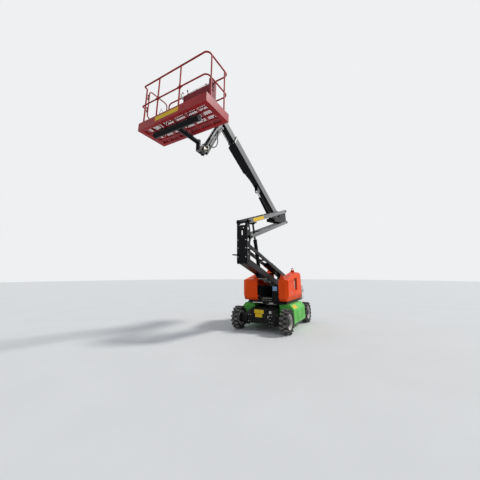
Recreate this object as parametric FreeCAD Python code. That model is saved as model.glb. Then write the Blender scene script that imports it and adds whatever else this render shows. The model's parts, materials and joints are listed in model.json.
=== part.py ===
import FreeCAD, Part

import math
import os

from FreeCAD import Vector

# Articulating boom lift on four wheels, after a self-propelled electric machine of the 12 m class.
# Millimetres. +X points forward, to the platform, +Y to the machine's left, +Z up.
# Every function works with X measured from the slew axis. The export moves the whole machine along X
# so that the origin lies on the floor under the middle of its box.

# Wheels and axles
wheel_base_front = 978
wheel_base_rear = 981
tyre_radius = 324
tyre_width = 220
tyre_sides = 32
tyre_centre_y = 765
carcass_radius = 299
rim_radius = 198
rim_wall = 9
lugs_per_row = 16
lug_width = 50
lug_angle = 3
lug_root = 12
lug_trim = 6
hub_bore_radius = 36
disc_inset = 78
spindle_depth = 20
kingpin_y = 640
kingpin_radius = 20
steer_arm_length = 140
steer_pull_length = 120
steer_foot_y = 170
steer_pin_radius = 10

# Chassis
frame_half_width = 420
frame_bottom = 165
frame_top = 610
frame_front = 1110
frame_rear = 1130
steer_arch_reach = 270
tie_down_reach = 38
tie_down_half = 35
tie_down_y = 300
tie_down_radius = 21
tie_down_thickness = 20
side_box_outer = 862
side_box_front = 598
side_box_rear = -548
side_box_bottom = 172
side_box_top = 715
side_box_slope = 130
sheet = 8
ring_radius = 380
ring_height = 55

# Turntable, hoods and counterweight
deck_bottom = 725
deck_thickness = 40
deck_half_width = 650
deck_top = deck_bottom + deck_thickness
deck_front = 700
deck_rear = -1010
tower_plate_inner = 146
tower_plate = 15
tail_radius = 1200
weight_front = -702
weight_half_width = 755
weight_pocket_radius = 60
weight_top = 1210
hood_wall = 8
hood_front = 760
hood_rear = -690
hood_bottom = 815
hood_front_height = 1415
hood_top = 1660
hood_left_inner = 470
hood_left_outer = 760
hood_right_inner = 240
hood_right_outer = 760
hood_corner = 55
hood_taper_height = 150
hood_taper = 65
hood_bevel_side = 90
hood_bevel_front = 70
hood_window = (-190, 100, 1100, 1478)
hood_pan_depth = 44
ear_height = 150
ear_half_base = 85
ear_hole = 24
hinge_inset = 36
hinge_offset = 14
hinge_ear = 20
hinge_pin_radius = 8
hinge_heights = (930, 1290)
hood_post_behind = 90
hood_post_size = 30
pack_front = 560
pack_rear = -560
battery_top = 1200
power_pack_top = 1180

# Pins
pin_radius = 28
boss_radius = 56
pin_gap = 0.3
side_gap = 3

# Lower arms, riser and upper arms: rest angles are above the horizontal
lower_pivot_x = -950
lower_pivot_z = 1043
lower_length = 3137
lower_angle = 17
lower_spacing = 439
lower_main_half_width = 120
lower_main_half_depth = 88
lower_link_inner = 100
lower_link_bar = 40
lower_link_half_depth = 48
link_box_start = 120
link_box_end = 1450
link_box_half_depth = 60
link_box_sheet = 8
riser_height = 1086
riser_plate_inner = 148
riser_plate = 12
riser_rear_depth = 95
riser_front_depth = 100
upper_length = 3287
upper_angle = 17.7
upper_spacing_x = -76
upper_spacing_z = -434
upper_bar_inner = 166
upper_bar = 40
upper_main_half_depth = 62
upper_link_half_depth = 48

# Knee and main boom
knee_half_width = 155
knee_plate = 14
boom_pivot_from_knee_x = 531
boom_pivot_from_knee_z = -375
boom_foot_from_knee_x = 1081
boom_foot_from_knee_z = -555
boom_angle = 27
boom_half_width = 100
boom_half_height = 120
boom_wall = 8
boom_outer_length = 3620
boom_tip_length = 4229
boom_tip_drop = 60
boom_inner_overlap = 1900
boom_slide_gap = 12
boom_lug_distance = 1750
boom_lug_drop = 250
tray_width = 95

# Jib, head and platform
jib_offset_x = 70
jib_offset_z = -100
jib_length = 1130
jib_angle = -60
head_half_width = 54
jib_spacing = 150
jib_pin_radius = 18
jib_bar_inner = 62
jib_bar = 26
jib_half_depth = 30
jib_link_half_depth = 22
jib_link_eye = 25
rotator_radius = 50
rotator_pin = 30
rotator_drop = 188
rotator_ahead = 236
support_stem_radius = 50
support_cross_radius = 62
support_reach = 142
support_cap = 10
platform_width = 1833
platform_depth = 718
platform_from_rotator = 527
platform_above_jib = 104
toe_height = 184
toe_sheet = 4
deck_frame_height = 40
floor_sheet = 4
floor_inset = 41
rail_height = 1154
mid_rail_height = 620
border_x = 75
border_y = 100
rib_pitch_y = 300
rib_pitch_x = 142
rail_radius = 17
post_radius = 16
mid_rail_radius = 15
rail_corner = 95
rail_return = 75
rail_return_bend = 34
rail_sleeve_radius = 25
front_posts = (-400, 216)
rear_end_from_side = 62
gate_tube = 14
gate_corner = 80
gate_bottom_height = 440
support_below_deck = 84
console_right = -190
console_left = 600
console_bottom = 640
console_top = 1018
console_panel = 30
console_panel_top = 1098
gate_hinge_reach = 46
gate_pin_radius = 5
gate_hinge_heights = (600, 930)

# Cylinders
arm_cylinder_radius = 55
arm_rod_radius = 30
arm_foot_distance = 2060
arm_foot_drop = 110
arm_eye_distance = 567
arm_eye_drop = 105
arm_barrel_length = 1120
arm_rod_length = 1110
boom_cylinder_radius = 52
boom_cylinder_rod_radius = 28
boom_barrel_length = 1090
boom_rod_length = 1120
jib_cylinder_radius = 32
jib_rod_radius = 17
jib_barrel_length = 880
jib_rod_length = 860
steer_cylinder_radius = 24
steer_rod_radius = 11

# Slack hose loop beside the jib: distance along the upper arm and lift from it, seen from the left
jib_hose_radius = 12
jib_hose_y = 120
jib_hose_route = [
    (435, -8), (560, -8), (668, -125), (800, -166), (925, -150), (1020, -92), (1062, -14),
]
hose_clamp_half = 18
hose_clamp_length = 30


def along(start, degrees, distance, lift=0.0):
    """Point at a distance along a slanted line in the XZ plane, lifted square to it."""
    c, s = math.cos(math.radians(degrees)), math.sin(math.radians(degrees))
    return (start[0] + distance * c - lift * s, start[1] + distance * s + lift * c)


def shifted(point, dx, dz):
    return (point[0] + dx, point[1] + dz)


def angle_of(start, end):
    return math.degrees(math.atan2(end[1] - start[1], end[0] - start[0]))


def span(start, end):
    return math.hypot(end[0] - start[0], end[1] - start[1])


# Pivots at rest, as (x, z) in the plane of the booms
A0 = (lower_pivot_x, lower_pivot_z)
B0 = shifted(A0, 0, lower_spacing)
A1 = along(A0, lower_angle, lower_length)
B1 = shifted(A1, 0, lower_spacing)
U1 = shifted(A1, 0, riser_height)
V1 = shifted(U1, upper_spacing_x, upper_spacing_z)
U2 = along(U1, 180 - upper_angle, upper_length)
V2 = shifted(U2, upper_spacing_x, upper_spacing_z)
P0 = shifted(U2, boom_pivot_from_knee_x, boom_pivot_from_knee_z)
C0 = shifted(U2, boom_foot_from_knee_x, boom_foot_from_knee_z)
T0 = along(P0, boom_angle, boom_tip_length, -boom_tip_drop)
C1 = along(P0, boom_angle, boom_lug_distance, -boom_lug_drop)
J0 = shifted(T0, jib_offset_x, jib_offset_z)
K0 = shifted(J0, 0, -jib_spacing)
J1 = along(J0, jib_angle, jib_length)
K1 = shifted(J1, 0, -jib_spacing)
E0 = along(A0, lower_angle, arm_foot_distance, -arm_foot_drop)
E1 = along(U1, 180 - upper_angle, arm_eye_distance, arm_eye_drop)
rotator_x = J1[0] + rotator_ahead
platform_bottom = J1[1] + platform_above_jib
floor_top = platform_bottom + deck_frame_height + floor_sheet
support_z = platform_bottom - support_below_deck
rotator_top = support_z - support_stem_radius - 6
hub_height = 110
platform_x = rotator_x + platform_from_rotator
platform_front = platform_x + platform_depth / 2
platform_rear = platform_x - platform_depth / 2
slew_x = -(platform_front - wheel_base_rear - tyre_radius) / 2
axle_z = tyre_radius
tie_downs = [
    # x of the hole, x where the lug is rooted in the frame, lowest z
    (frame_front + tie_down_reach, frame_front - 5, 250),
    (-frame_rear - tie_down_reach, -frame_rear + 5, 480),
]
rail_inset = toe_sheet + pin_gap + rail_radius
rail_half = platform_width / 2 - rail_inset
rail_front_x = platform_front - rail_inset
rail_rear_x = platform_rear + rail_inset
rail_top_z = platform_bottom + rail_height - rail_radius
rail_mid_z = platform_bottom + mid_rail_height
gate_x = rail_front_x - rail_return - gate_hinge_reach


def box(x0, x1, y0, y1, z0, z1):
    return Part.makeBox(x1 - x0, y1 - y0, z1 - z0, Vector(x0, y0, z0))


def rod_y(point, radius, y0, y1):
    return Part.makeCylinder(radius, y1 - y0, Vector(point[0], y0, point[1]), Vector(0, 1, 0))


def rod_z(x, y, radius, z0, z1):
    return Part.makeCylinder(radius, z1 - z0, Vector(x, y, z0), Vector(0, 0, 1))


def rod_x(y, z, radius, x0, x1):
    return Part.makeCylinder(radius, x1 - x0, Vector(x0, y, z), Vector(1, 0, 0))


def plate(points, y0, y1):
    """Flat plate with an XZ outline, from y0 to y1."""
    wire = Part.makePolygon([Vector(x, y0, z) for x, z in points + points[:1]])
    return Part.Face(wire).extrude(Vector(0, y1 - y0, 0))


def slab(points, z0, z1):
    """Flat plate with an XY outline, from z0 to z1."""
    wire = Part.makePolygon([Vector(x, y, z0) for x, y in points + points[:1]])
    return Part.Face(wire).extrude(Vector(0, 0, z1 - z0))


def beam(start, degrees, s0, s1, n0, n1, y0, y1):
    """Straight box along a slanted line, between two distances and two lifts."""
    corners = [along(start, degrees, s, n) for s, n in ((s0, n0), (s1, n0), (s1, n1), (s0, n1))]
    return plate(corners, y0, y1)


def fuse(shapes):
    return shapes[0].multiFuse(shapes[1:]).removeSplitter() if len(shapes) > 1 else shapes[0]


def both_sides(shape):
    """The shape and its mirror image in the plane of the booms."""
    return [shape, shape.mirror(Vector(0, 0, 0), Vector(0, 1, 0))]


def mirrored(shape):
    return shape.mirror(Vector(0, 0, 0), Vector(0, 1, 0))


def pipe(points, radius, bends):
    """Round bar of cylinders joined by parts of rings, with one bend radius or a list of one for each corner."""
    vectors = [Vector(*p) for p in points]
    if not isinstance(bends, (list, tuple)):
        bends = [bends] * (len(points) - 2)
    pieces = []
    start = vectors[0]
    for before, corner, after, bend in zip(vectors, vectors[1:], vectors[2:], bends):
        d0, d1 = (corner - before).normalize(), (after - corner).normalize()
        turn = d0.getAngle(d1)
        reach = bend * math.tan(turn / 2)
        first, last = corner - d0 * reach, corner + d1 * reach
        centre = corner + (d1 - d0).normalize() * (bend / math.cos(turn / 2))
        if (first - start).Length > 0.01:
            pieces.append(Part.makeCylinder(radius, (first - start).Length, start, d0))
        section = Part.Face(Part.Wire(Part.makeCircle(radius, first, d0)))
        pieces.append(section.revolve(centre, d0.cross(d1), math.degrees(turn)))
        start = last
    rest = vectors[-1] - start
    if rest.Length > 0.01:
        pieces.append(Part.makeCylinder(radius, rest.Length, start, rest))
    return fuse(pieces)


def save(node, shape):
    moved = shape.copy()
    moved.translate(Vector(slew_x, 0, 0))
    moved.exportStep(os.path.join("parts", node + ".step"))


# Wheels

def faceted_ring(outline, sides):
    """Ring about the Y axis with flat sides, from an outline of radius and Y."""
    def corner(step, point):
        a = 2 * math.pi * (step + 0.5) / sides
        return Vector(point[0] * math.sin(a), point[1], point[0] * math.cos(a))
    faces = []
    for step in range(sides):
        for p, q in zip(outline, outline[1:] + outline[:1]):
            corners = [corner(step, p), corner(step, q), corner(step + 1, q), corner(step + 1, p)]
            faces.append(Part.Face(Part.makePolygon(corners + corners[:1])))
    return Part.Solid(Part.Shell(faces))


def make_tyre():
    """Off-road tyre about the Y axis through the origin, with two staggered rows of slanted lugs."""
    half = tyre_width / 2
    seat = (rim_radius + pin_gap) / math.cos(math.pi / tyre_sides)
    outline = [
        (seat, -half + 22), (rim_radius + 34, -half + 2), (carcass_radius - 34, -half),
        (carcass_radius, -half + 26), (carcass_radius, half - 26), (carcass_radius - 34, half),
        (rim_radius + 34, half - 2), (seat, half - 22),
    ]
    carcass = faceted_ring(outline, tyre_sides)
    lugs = []
    for row, side in enumerate((-1, 1)):
        for step in range(lugs_per_row):
            lug = Part.makeBox(lug_width, half - 4, tyre_radius + lug_trim - carcass_radius + lug_root,
                               Vector(-lug_width / 2, 4, carcass_radius - lug_root))
            lug.rotate(Vector(0, half / 2, 0), Vector(0, 0, 1), lug_angle)
            if side < 0:
                lug = mirrored(lug)
            lug.rotate(Vector(0, 0, 0), Vector(0, 1, 0), 180 + (step + row / 2) * 360 / lugs_per_row)
            lugs.append(lug)
    step = 2 * math.pi / tyre_sides
    corner_radius = tyre_radius / math.cos(step / 2)
    limit = plate([(corner_radius * math.sin((k + 0.5) * step), corner_radius * math.cos((k + 0.5) * step))
                   for k in range(tyre_sides)], -half, half)
    return carcass.multiFuse(lugs).common(limit).removeSplitter()


def make_rim(hub_out):
    """Steel rim about the Y axis: barrel, dished disc with hand holes, and hub boss."""
    half = tyre_width / 2
    barrel = Part.makeCylinder(rim_radius, tyre_width - 44, Vector(0, -half + 22, 0), Vector(0, 1, 0))
    barrel = barrel.cut(Part.makeCylinder(rim_radius - rim_wall, tyre_width, Vector(0, -half, 0), Vector(0, 1, 0)))
    disc_y = half - disc_inset
    disc = Part.makeCylinder(rim_radius - 1, 14, Vector(0, disc_y, 0), Vector(0, 1, 0))
    for step in range(6):
        a = math.radians(step * 60)
        disc = disc.cut(Part.makeCylinder(20, 30, Vector(132 * math.cos(a), disc_y - 8, 132 * math.sin(a)),
                                          Vector(0, 1, 0)))
    boss = Part.makeCylinder(80, hub_out, Vector(0, disc_y, 0), Vector(0, 1, 0))
    return fuse([barrel, disc, boss])


def save_wheels():
    tyre = make_tyre()
    rim = make_rim(48)
    disc_y = tyre_width / 2 - disc_inset
    hub = Part.makeCylinder(hub_bore_radius, spindle_depth + 1 + pin_gap, Vector(0, disc_y - 1, 0), Vector(0, 1, 0))
    rim = rim.cut(hub)
    places = [
        # name, x, side
        ("front_left", wheel_base_front, 1),
        ("front_right", wheel_base_front, -1),
        ("rear_left", -wheel_base_rear, 1),
        ("rear_right", -wheel_base_rear, -1),
    ]
    for name, x, side in places:
        for kind, shape in (("tyre", tyre), ("rim", rim)):
            piece = shape if side > 0 else mirrored(shape)
            piece = piece.copy()
            piece.translate(Vector(x, side * tyre_centre_y, axle_z))
            save(kind + "_" + name, piece)


# Chassis

def make_frame():
    """Welded frame: a deep box between the axles and at the drive axle, arched over the steer axle."""
    arch = -wheel_base_rear + steer_arch_reach
    outline = [
        (frame_front, frame_bottom + 60), (frame_front, 500), (1010, 560), (640, frame_top),
        (-640, frame_top), (-1000, 570), (-frame_rear, 520), (-frame_rear, 455),
        (arch - 60, 455), (arch, 400), (arch + 40, frame_bottom), (600, frame_bottom),
    ]
    body = plate(outline, -frame_half_width, frame_half_width)
    pedestal = rod_z(0, 0, ring_radius + 30, frame_top - 40, deck_bottom - ring_height - 12)
    lugs = []
    holes = []
    for x, root, z in tie_downs:
        for y in (-tie_down_y, tie_down_y):
            lugs.append(box(min(x, root), max(x, root), y - tie_down_half, y + tie_down_half, z, z + tie_down_thickness))
            lugs.append(rod_z(x, y, tie_down_half, z, z + tie_down_thickness))
            holes.append(rod_z(x, y, tie_down_radius, z - 1, z + tie_down_thickness + 1))
    return fuse([body, pedestal] + lugs).cut(holes)


def make_side_box():
    """Bent sheet cover beside the frame, with a sloped shoulder and two pressed ribs."""
    def solid(inset):
        wall = side_box_outer - inset
        top = side_box_top - inset
        bottom = side_box_bottom + inset
        section = [(frame_half_width, bottom), (wall - 40, bottom), (wall, bottom + 40),
                   (wall, top - side_box_slope), (wall - 110, top), (frame_half_width, top)]
        wire = Part.makePolygon([Vector(side_box_rear + inset, y, z) for y, z in section + section[:1]])
        return Part.Face(wire).extrude(Vector(side_box_front - side_box_rear - 2 * inset, 0, 0))
    shell = solid(0).cut(solid(sheet).cut(box(-2000, 2000, 0, frame_half_width + sheet, 0, 2000)))
    ribs = [box(x, x + 60, side_box_outer - 4, side_box_outer + 8, side_box_bottom + 70, side_box_top - side_box_slope - 40)
            for x in (-250, 190)]
    return fuse([shell] + ribs)


def make_drive_hub():
    """Hub motor and gearbox of a driven wheel, bolted to the frame, with the wheel spindle."""
    x = wheel_base_front
    disc_y = tyre_centre_y + tyre_width / 2 - disc_inset
    case = rod_y((x, axle_z), 165, frame_half_width, frame_half_width + 70)
    gear = rod_y((x, axle_z), 130, frame_half_width + 60, tyre_centre_y - tyre_width / 2 + 45)
    motor = rod_y((x, axle_z), 95, tyre_centre_y - tyre_width / 2, disc_y - 3)
    spindle = rod_y((x, axle_z), hub_bore_radius - pin_gap, disc_y - 10, disc_y + spindle_depth)
    return fuse([case, gear, motor, spindle])


def make_rear_axle():
    """Steer axle: beam under the frame with a forked end at each kingpin."""
    x = -wheel_base_rear
    beam_bar = box(x - 50, x + 50, -kingpin_y + 60, kingpin_y - 60, axle_z - 60, axle_z + 60)
    hanger = plate([(x - 90, axle_z + 50), (x + 90, axle_z + 50), (x + 130, 455), (x - 130, 455)], -110, 110)
    parts = [beam_bar, hanger]
    for side in (-1, 1):
        y0, y1 = sorted((side * (kingpin_y - 90), side * (kingpin_y + 34)))
        for z0, z1 in ((axle_z + 72, axle_z + 96), (axle_z - 96, axle_z - 72)):
            parts.append(box(x - 38, x + 38, y0, y1, z0, z1))
        w0, w1 = sorted((side * (kingpin_y - 90), side * (kingpin_y - 60)))
        parts.append(box(x - 38, x + 38, w0, w1, axle_z - 96, axle_z + 96))
        parts.append(rod_z(x, side * kingpin_y, kingpin_radius, axle_z - 100, axle_z + 100))
    for z0, z1 in ((axle_z + 28, axle_z + 42), (axle_z - 42, axle_z - 28)):
        parts.append(box(x - steer_pull_length - 28, x - 45, steer_foot_y - 22, steer_foot_y + 22, z0, z1))
    parts.append(rod_z(x - steer_pull_length, steer_foot_y, steer_pin_radius, axle_z - 44, axle_z + 44))
    return fuse(parts)


def make_knuckle(side):
    """Steering knuckle on the kingpin, with stub axle, tie rod arm and, on the right, a pull arm."""
    x, y = -wheel_base_rear, side * kingpin_y
    disc_y = tyre_centre_y + tyre_width / 2 - disc_inset
    body = rod_z(x, y, 42, axle_z - 69, axle_z + 69)
    stub = rod_y((x, axle_z), 34, *sorted((y + side * 20, side * (disc_y - 3))))
    spindle = rod_y((x, axle_z), hub_bore_radius - pin_gap, *sorted((side * (disc_y - 12), side * (disc_y + spindle_depth))))
    arm_z0, arm_z1 = axle_z - 66, axle_z - 46
    arm = box(x, x + steer_arm_length, *sorted((y - 18, y + 18)), arm_z0, arm_z1)
    tip = rod_z(x + steer_arm_length, y, 24, arm_z0, arm_z1)
    pin = rod_z(x + steer_arm_length, y, steer_pin_radius, arm_z0 - 34, arm_z0 + 1)
    parts = [body, stub, spindle, arm, tip, pin]
    if side < 0:
        for z0, z1 in ((axle_z + 28, axle_z + 42), (axle_z - 42, axle_z - 28)):
            parts.append(box(x - steer_pull_length, x, y - 18, y + 18, z0, z1))
            parts.append(rod_z(x - steer_pull_length, y, 24, z0, z1))
    shape = fuse(parts)
    return shape.cut(rod_z(x, y, kingpin_radius + pin_gap, axle_z - 80, axle_z + 80))


def make_tie_rod():
    x = -wheel_base_rear + steer_arm_length
    z1 = axle_z - 66 - 3
    z0 = z1 - 28
    bar = rod_y((x, (z0 + z1) / 2), 13, -kingpin_y + 15, kingpin_y - 15)
    ends = [rod_z(x, side * kingpin_y, 22, z0, z1) for side in (-1, 1)]
    shape = fuse([bar] + ends)
    for side in (-1, 1):
        shape = shape.cut(rod_z(x, side * kingpin_y, steer_pin_radius + pin_gap, z0 - 5, z1 + 5))
    return shape


def make_steer_cylinder():
    x = -wheel_base_rear - steer_pull_length
    foot = rod_z(x, steer_foot_y, 22, axle_z - 24, axle_z + 24)
    barrel = rod_y((x, axle_z), steer_cylinder_radius, steer_foot_y - 470, steer_foot_y - 18)
    bore = rod_y((x, axle_z), steer_rod_radius + pin_gap, steer_foot_y - 480, steer_foot_y - 60)
    shape = fuse([foot, barrel]).cut(bore)
    return shape.cut(rod_z(x, steer_foot_y, steer_pin_radius + pin_gap, axle_z - 30, axle_z + 30))


def make_steer_rod():
    x = -wheel_base_rear - steer_pull_length
    end = rod_z(x, -kingpin_y, 22, axle_z - 22, axle_z + 22)
    shaft = rod_y((x, axle_z), steer_rod_radius, 15 - kingpin_y, steer_foot_y - 160)
    return fuse([end, shaft])


def make_slew_ring():
    ring = rod_z(0, 0, ring_radius, deck_bottom - ring_height - 12, deck_bottom - pin_gap)
    teeth = []
    for step in range(36):
        tooth = box(ring_radius - 4, ring_radius + 14, -12, 12, deck_bottom - ring_height - 2, deck_bottom - 16)
        tooth.rotate(Vector(0, 0, 0), Vector(0, 0, 1), step * 10)
        teeth.append(tooth)
    return ring.multiFuse(teeth).removeSplitter()


# Turntable

def make_deck():
    """Turntable deck plate with a stiffening skirt round the slew ring and the hood sills."""
    outline = [(deck_front, -480), (deck_front, 480), (deck_front - 90, deck_half_width),
               (deck_rear, deck_half_width), (deck_rear, -deck_half_width), (deck_front - 90, -deck_half_width)]
    return slab(outline, deck_bottom, deck_top)


def make_tower():
    """Two upright plates that carry the lower arms at the rear of the turntable."""
    top = deck_top
    outline = [(-1035, top), (450, top), (380, top + 120), (-420, 1180), (-870, B0[1] + 62),
               (-1035, B0[1] + 62)]
    y0, y1 = tower_plate_inner, tower_plate_inner + tower_plate
    cheek = plate(outline, y0, y1)
    cheek = cheek.cut(rod_y((-500, 960), 90, y0 - 1, y1 + 1)).cut(rod_y((-180, 900), 60, y0 - 1, y1 + 1))
    parts = both_sides(cheek)
    reach = y1 + 16
    for pivot in (A0, B0):
        parts.append(rod_y(pivot, pin_radius, -reach, reach))
        parts += both_sides(rod_y(pivot, 46, y1 - 1, y1 + 8))
    parts.append(box(-1035, -1015, -y0 - 1, y0 + 1, top, 940))
    return fuse(parts)


def make_counterweight():
    """Cast counterweight that wraps round the tail, with pockets behind and at both sides."""
    r = tail_radius
    depth = math.sqrt(r ** 2 - weight_half_width ** 2)
    corners = [Vector(weight_front, -weight_half_width, 0), Vector(-depth, -weight_half_width, 0),
               Vector(-r, 0, 0), Vector(-depth, weight_half_width, 0), Vector(weight_front, weight_half_width, 0)]
    edges = [Part.LineSegment(corners[0], corners[1]).toShape(), Part.Arc(*corners[1:4]).toShape(),
             Part.LineSegment(corners[3], corners[4]).toShape(), Part.LineSegment(corners[4], corners[0]).toShape()]
    body = Part.Face(Part.Wire(edges)).extrude(Vector(0, 0, weight_top - deck_top))
    body.translate(Vector(0, 0, deck_top))
    slot = box(-tail_radius + 110, weight_front + 1, -tower_plate_inner - tower_plate - 30,
               tower_plate_inner + tower_plate + 30, deck_top - 1, weight_top + 1)
    body = body.cut(slot)
    side_pocket = rod_y((-820, 1040), weight_pocket_radius, weight_half_width - 90, weight_half_width + 1)
    pockets = [rod_x(side * 430, 1000, 70, -tail_radius - 10, -tail_radius + 190) for side in (-1, 1)]
    return body.cut(pockets + both_sides(side_pocket))


def hood_profile(inset):
    """XZ outline of a hood, set in from the outside by a wall."""
    points = [(hood_front - 60, hood_bottom), (hood_front, hood_bottom + 75), (hood_front, hood_front_height - 40),
              (hood_front - 45, hood_front_height + 15), (-330, hood_top), (hood_rear + 95, hood_top - 12),
              (hood_rear, hood_top - 110), (hood_rear, hood_bottom)]
    if inset == 0:
        return points
    wire = Part.makePolygon([Vector(x, 0, z) for x, z in points + points[:1]])
    inner = wire.makeOffset2D(-inset)
    if inner.BoundBox.XLength > wire.BoundBox.XLength:
        inner = wire.makeOffset2D(inset)
    ordered = [(v.Point.x, v.Point.z) for v in inner.OrderedVertexes]
    return ordered


def make_hood(inner, outer):
    """Moulded hood on the left side: roof, front, outer side and rear, open below and to the boom side."""
    def solid(inset, reach):
        body = plate(hood_profile(inset), inner - reach, outer - inset)
        edges = [e for e in body.Edges
                 if abs(e.BoundBox.YMin - (outer - inset)) < 0.1 and abs(e.BoundBox.YMax - (outer - inset)) < 0.1
                 and e.BoundBox.ZMax > hood_bottom + inset + 1]
        return body.makeFillet(hood_corner - inset, edges)
    shell = solid(0, 0).cut(hood_bevels(outer, 0)).cut(solid(hood_wall, 40).cut(hood_bevels(outer, hood_wall)))
    floor_cut = box(hood_rear + hood_wall, hood_front - 70, inner - 1, outer - hood_taper - 2 * hood_wall,
                    hood_bottom - 1, hood_bottom + hood_wall + 1)
    return shell.cut(floor_cut)


def hood_bevels(outer, inset):
    """What the hood's slanted lower side and its front corner take away, set in by a wall."""
    y = outer - inset * math.hypot(hood_taper, hood_taper_height) / hood_taper_height
    low = [(y + 1, hood_bottom + hood_taper_height), (y + 200, hood_bottom + hood_taper_height),
           (y + 200, hood_bottom - 10), (y - hood_taper, hood_bottom - 10), (y - hood_taper, hood_bottom)]
    wire = Part.makePolygon([Vector(hood_rear - 10, py, pz) for py, pz in low + low[:1]])
    lower = Part.Face(wire).extrude(Vector(hood_front - hood_rear + 20, 0, 0))
    x = hood_front - inset * math.hypot(hood_bevel_side, hood_bevel_front) / hood_bevel_side
    corner = slab([(x, outer - hood_bevel_side), (x + 200, outer - hood_bevel_side), (x + 200, outer + 200),
                   (x - hood_bevel_front, outer + 200), (x - hood_bevel_front, outer)], hood_bottom - 10, hood_top + 10)
    return [lower, corner]


def hood_roof(x):
    """Height of a hood's roof at a place along its length."""
    x0, z0, x1, z1 = hood_front - 45, hood_front_height + 15, -330, hood_top
    return min(hood_top - 12, z0 + (x - x0) / (x1 - x0) * (z1 - z0))


def add_lifting_ears(hood, inner):
    """Two upright triangular ears with a hole, on the boom side of the roof."""
    parts, holes = [hood], []
    for x in (hood_front - 100, hood_rear + 280):
        y, z = inner + ear_half_base, hood_roof(x)
        outline = [(y - ear_half_base, z - hood_wall), (y + ear_half_base, z - hood_wall), (y + 22, z + ear_height),
                   (y - 22, z + ear_height)]
        wire = Part.makePolygon([Vector(x, py, pz) for py, pz in outline + outline[:1]])
        ear = Part.Face(wire).extrude(Vector(12, 0, 0))
        parts.append(ear)
        holes.append(rod_x(y, z + ear_height - 50, ear_hole, x - 1, x + 13))
    return fuse(parts).cut(holes)


def add_side_recess(hood, outer):
    """Recess in the hood's outer side, with a pan behind its window."""
    x0, x1, z0, z1 = hood_window
    t, back = hood_wall, outer - hood_pan_depth
    pan = box(x0 - t, x1 + t, back - t, outer - 1, z0 - t, z1 + t).cut(box(x0, x1, back, outer, z0, z1))
    return fuse([hood.cut(box(x0, x1, back, outer + 1, z0, z1)), pan])


def hood_hinge(inner):
    """Place of a hood's upright hinge line, inside its front wall on the boom side."""
    return hood_front - hinge_inset, inner - hinge_offset


def add_hinge_ears(hood, inner):
    x, y = hood_hinge(inner)
    parts = [hood]
    for z in hinge_heights:
        parts.append(box(x - hinge_ear, hood_front - hood_wall + 1, y, inner + 40, z, z + hinge_ear))
        parts.append(rod_z(x, y, hinge_ear, z, z + hinge_ear))
    shape = fuse(parts)
    for z in hinge_heights:
        shape = shape.cut(rod_z(x, y, hinge_pin_radius + pin_gap, z - 1, z + hinge_ear + 1))
    return shape


def make_hood_post(inner):
    """Post on the deck with a bracket and an upright pin for each hinge of a hood."""
    x, y = hood_hinge(inner)
    back = x - hood_post_behind
    parts = [box(back, back + hood_post_size, y - 12, y + 12, deck_top, hinge_heights[-1])]
    for z in hinge_heights:
        parts.append(box(back, x, y - 10, y + 10, z - side_gap - 12, z - side_gap))
        parts.append(rod_z(x, y, 14, z - side_gap - 12, z - side_gap))
        parts.append(rod_z(x, y, hinge_pin_radius, z - side_gap - 1, z + hinge_ear + 6))
    return fuse(parts)


def save_hoods():
    hoods = [
        # name, boom side, outer side, side of the machine
        ("left", hood_left_inner, hood_left_outer, 1),
        ("right", hood_right_inner, hood_right_outer, -1),
    ]
    for name, inner, outer, side in hoods:
        hood = add_lifting_ears(add_hinge_ears(make_hood(inner, outer), inner), inner)
        if side > 0:
            hood = add_side_recess(hood, outer)
        post = make_hood_post(inner)
        save("hood_" + name, hood if side > 0 else mirrored(hood))
        save("hood_post_" + name, post if side > 0 else mirrored(post))


def make_battery():
    return box(pack_rear, pack_front, -deck_half_width, -hood_right_inner - 30, deck_top, battery_top)


def make_power_pack():
    return box(pack_rear, pack_front - 40, hood_left_inner + 12, deck_half_width, deck_top, power_pack_top)


def make_valve_box():
    """Valve and control boxes on the deck between the hoods, left of the arms and in front of the tower."""
    boxes = [
        # rear x, front x, right y, left y, top z
        (-120, 560, 190, hood_left_inner - 60, 1290),
        (470, 600, -180, 191, 905),
        (559, 600, 190, hood_left_inner - 60, 1080),
    ]
    return fuse([box(x0, x1, y0, y1, deck_top, z1) for x0, x1, y0, y1, z1 in boxes])


# Arms

def make_lower_main():
    y = lower_main_half_width
    d = lower_main_half_depth
    body = beam(A0, lower_angle, -10, lower_length + 10, -d, d, -y, y)
    ends = [rod_y(A0, d, -y, y), rod_y(A1, d, -y, y)]
    slot = beam(A0, lower_angle, arm_foot_distance - 92, arm_foot_distance + 300, -d - 1, d + 1,
                -arm_cylinder_radius - 10, arm_cylinder_radius + 10)
    shape = fuse([body] + ends).cut(slot)
    ear_y = arm_cylinder_radius + 10
    ear_outline = [along(A0, lower_angle, arm_foot_distance + s, n) for s, n in
                   ((-150, -d + 10), (-55, -arm_foot_drop - 50), (55, -arm_foot_drop - 50), (150, -d + 10))]
    ears = both_sides(plate(ear_outline, ear_y, ear_y + 24))
    pin = rod_y(E0, pin_radius, -ear_y - 40, ear_y + 40)
    shape = fuse([shape] + ears + [pin])
    for pivot in (A0, A1):
        shape = shape.cut(rod_y(pivot, pin_radius + pin_gap, -y - 1, y + 1))
    return shape


def twin_bars(start, end, inner, width, half_depth, eye_radius, pin):
    """Two parallel bars with round eyes at both ends, bored for their pins."""
    degrees = angle_of(start, end)
    outer = inner + width
    bar = beam(start, degrees, 0, span(start, end), -half_depth, half_depth, inner, outer)
    bar = fuse([bar, rod_y(start, eye_radius, inner, outer), rod_y(end, eye_radius, inner, outer)])
    for point in (start, end):
        bar = bar.cut(rod_y(point, pin + pin_gap, inner - 1, outer + 1))
    return both_sides(bar)


def cross_tube(point, radius, inner):
    return rod_y(point, radius, -inner - 1, inner + 1)


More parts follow.
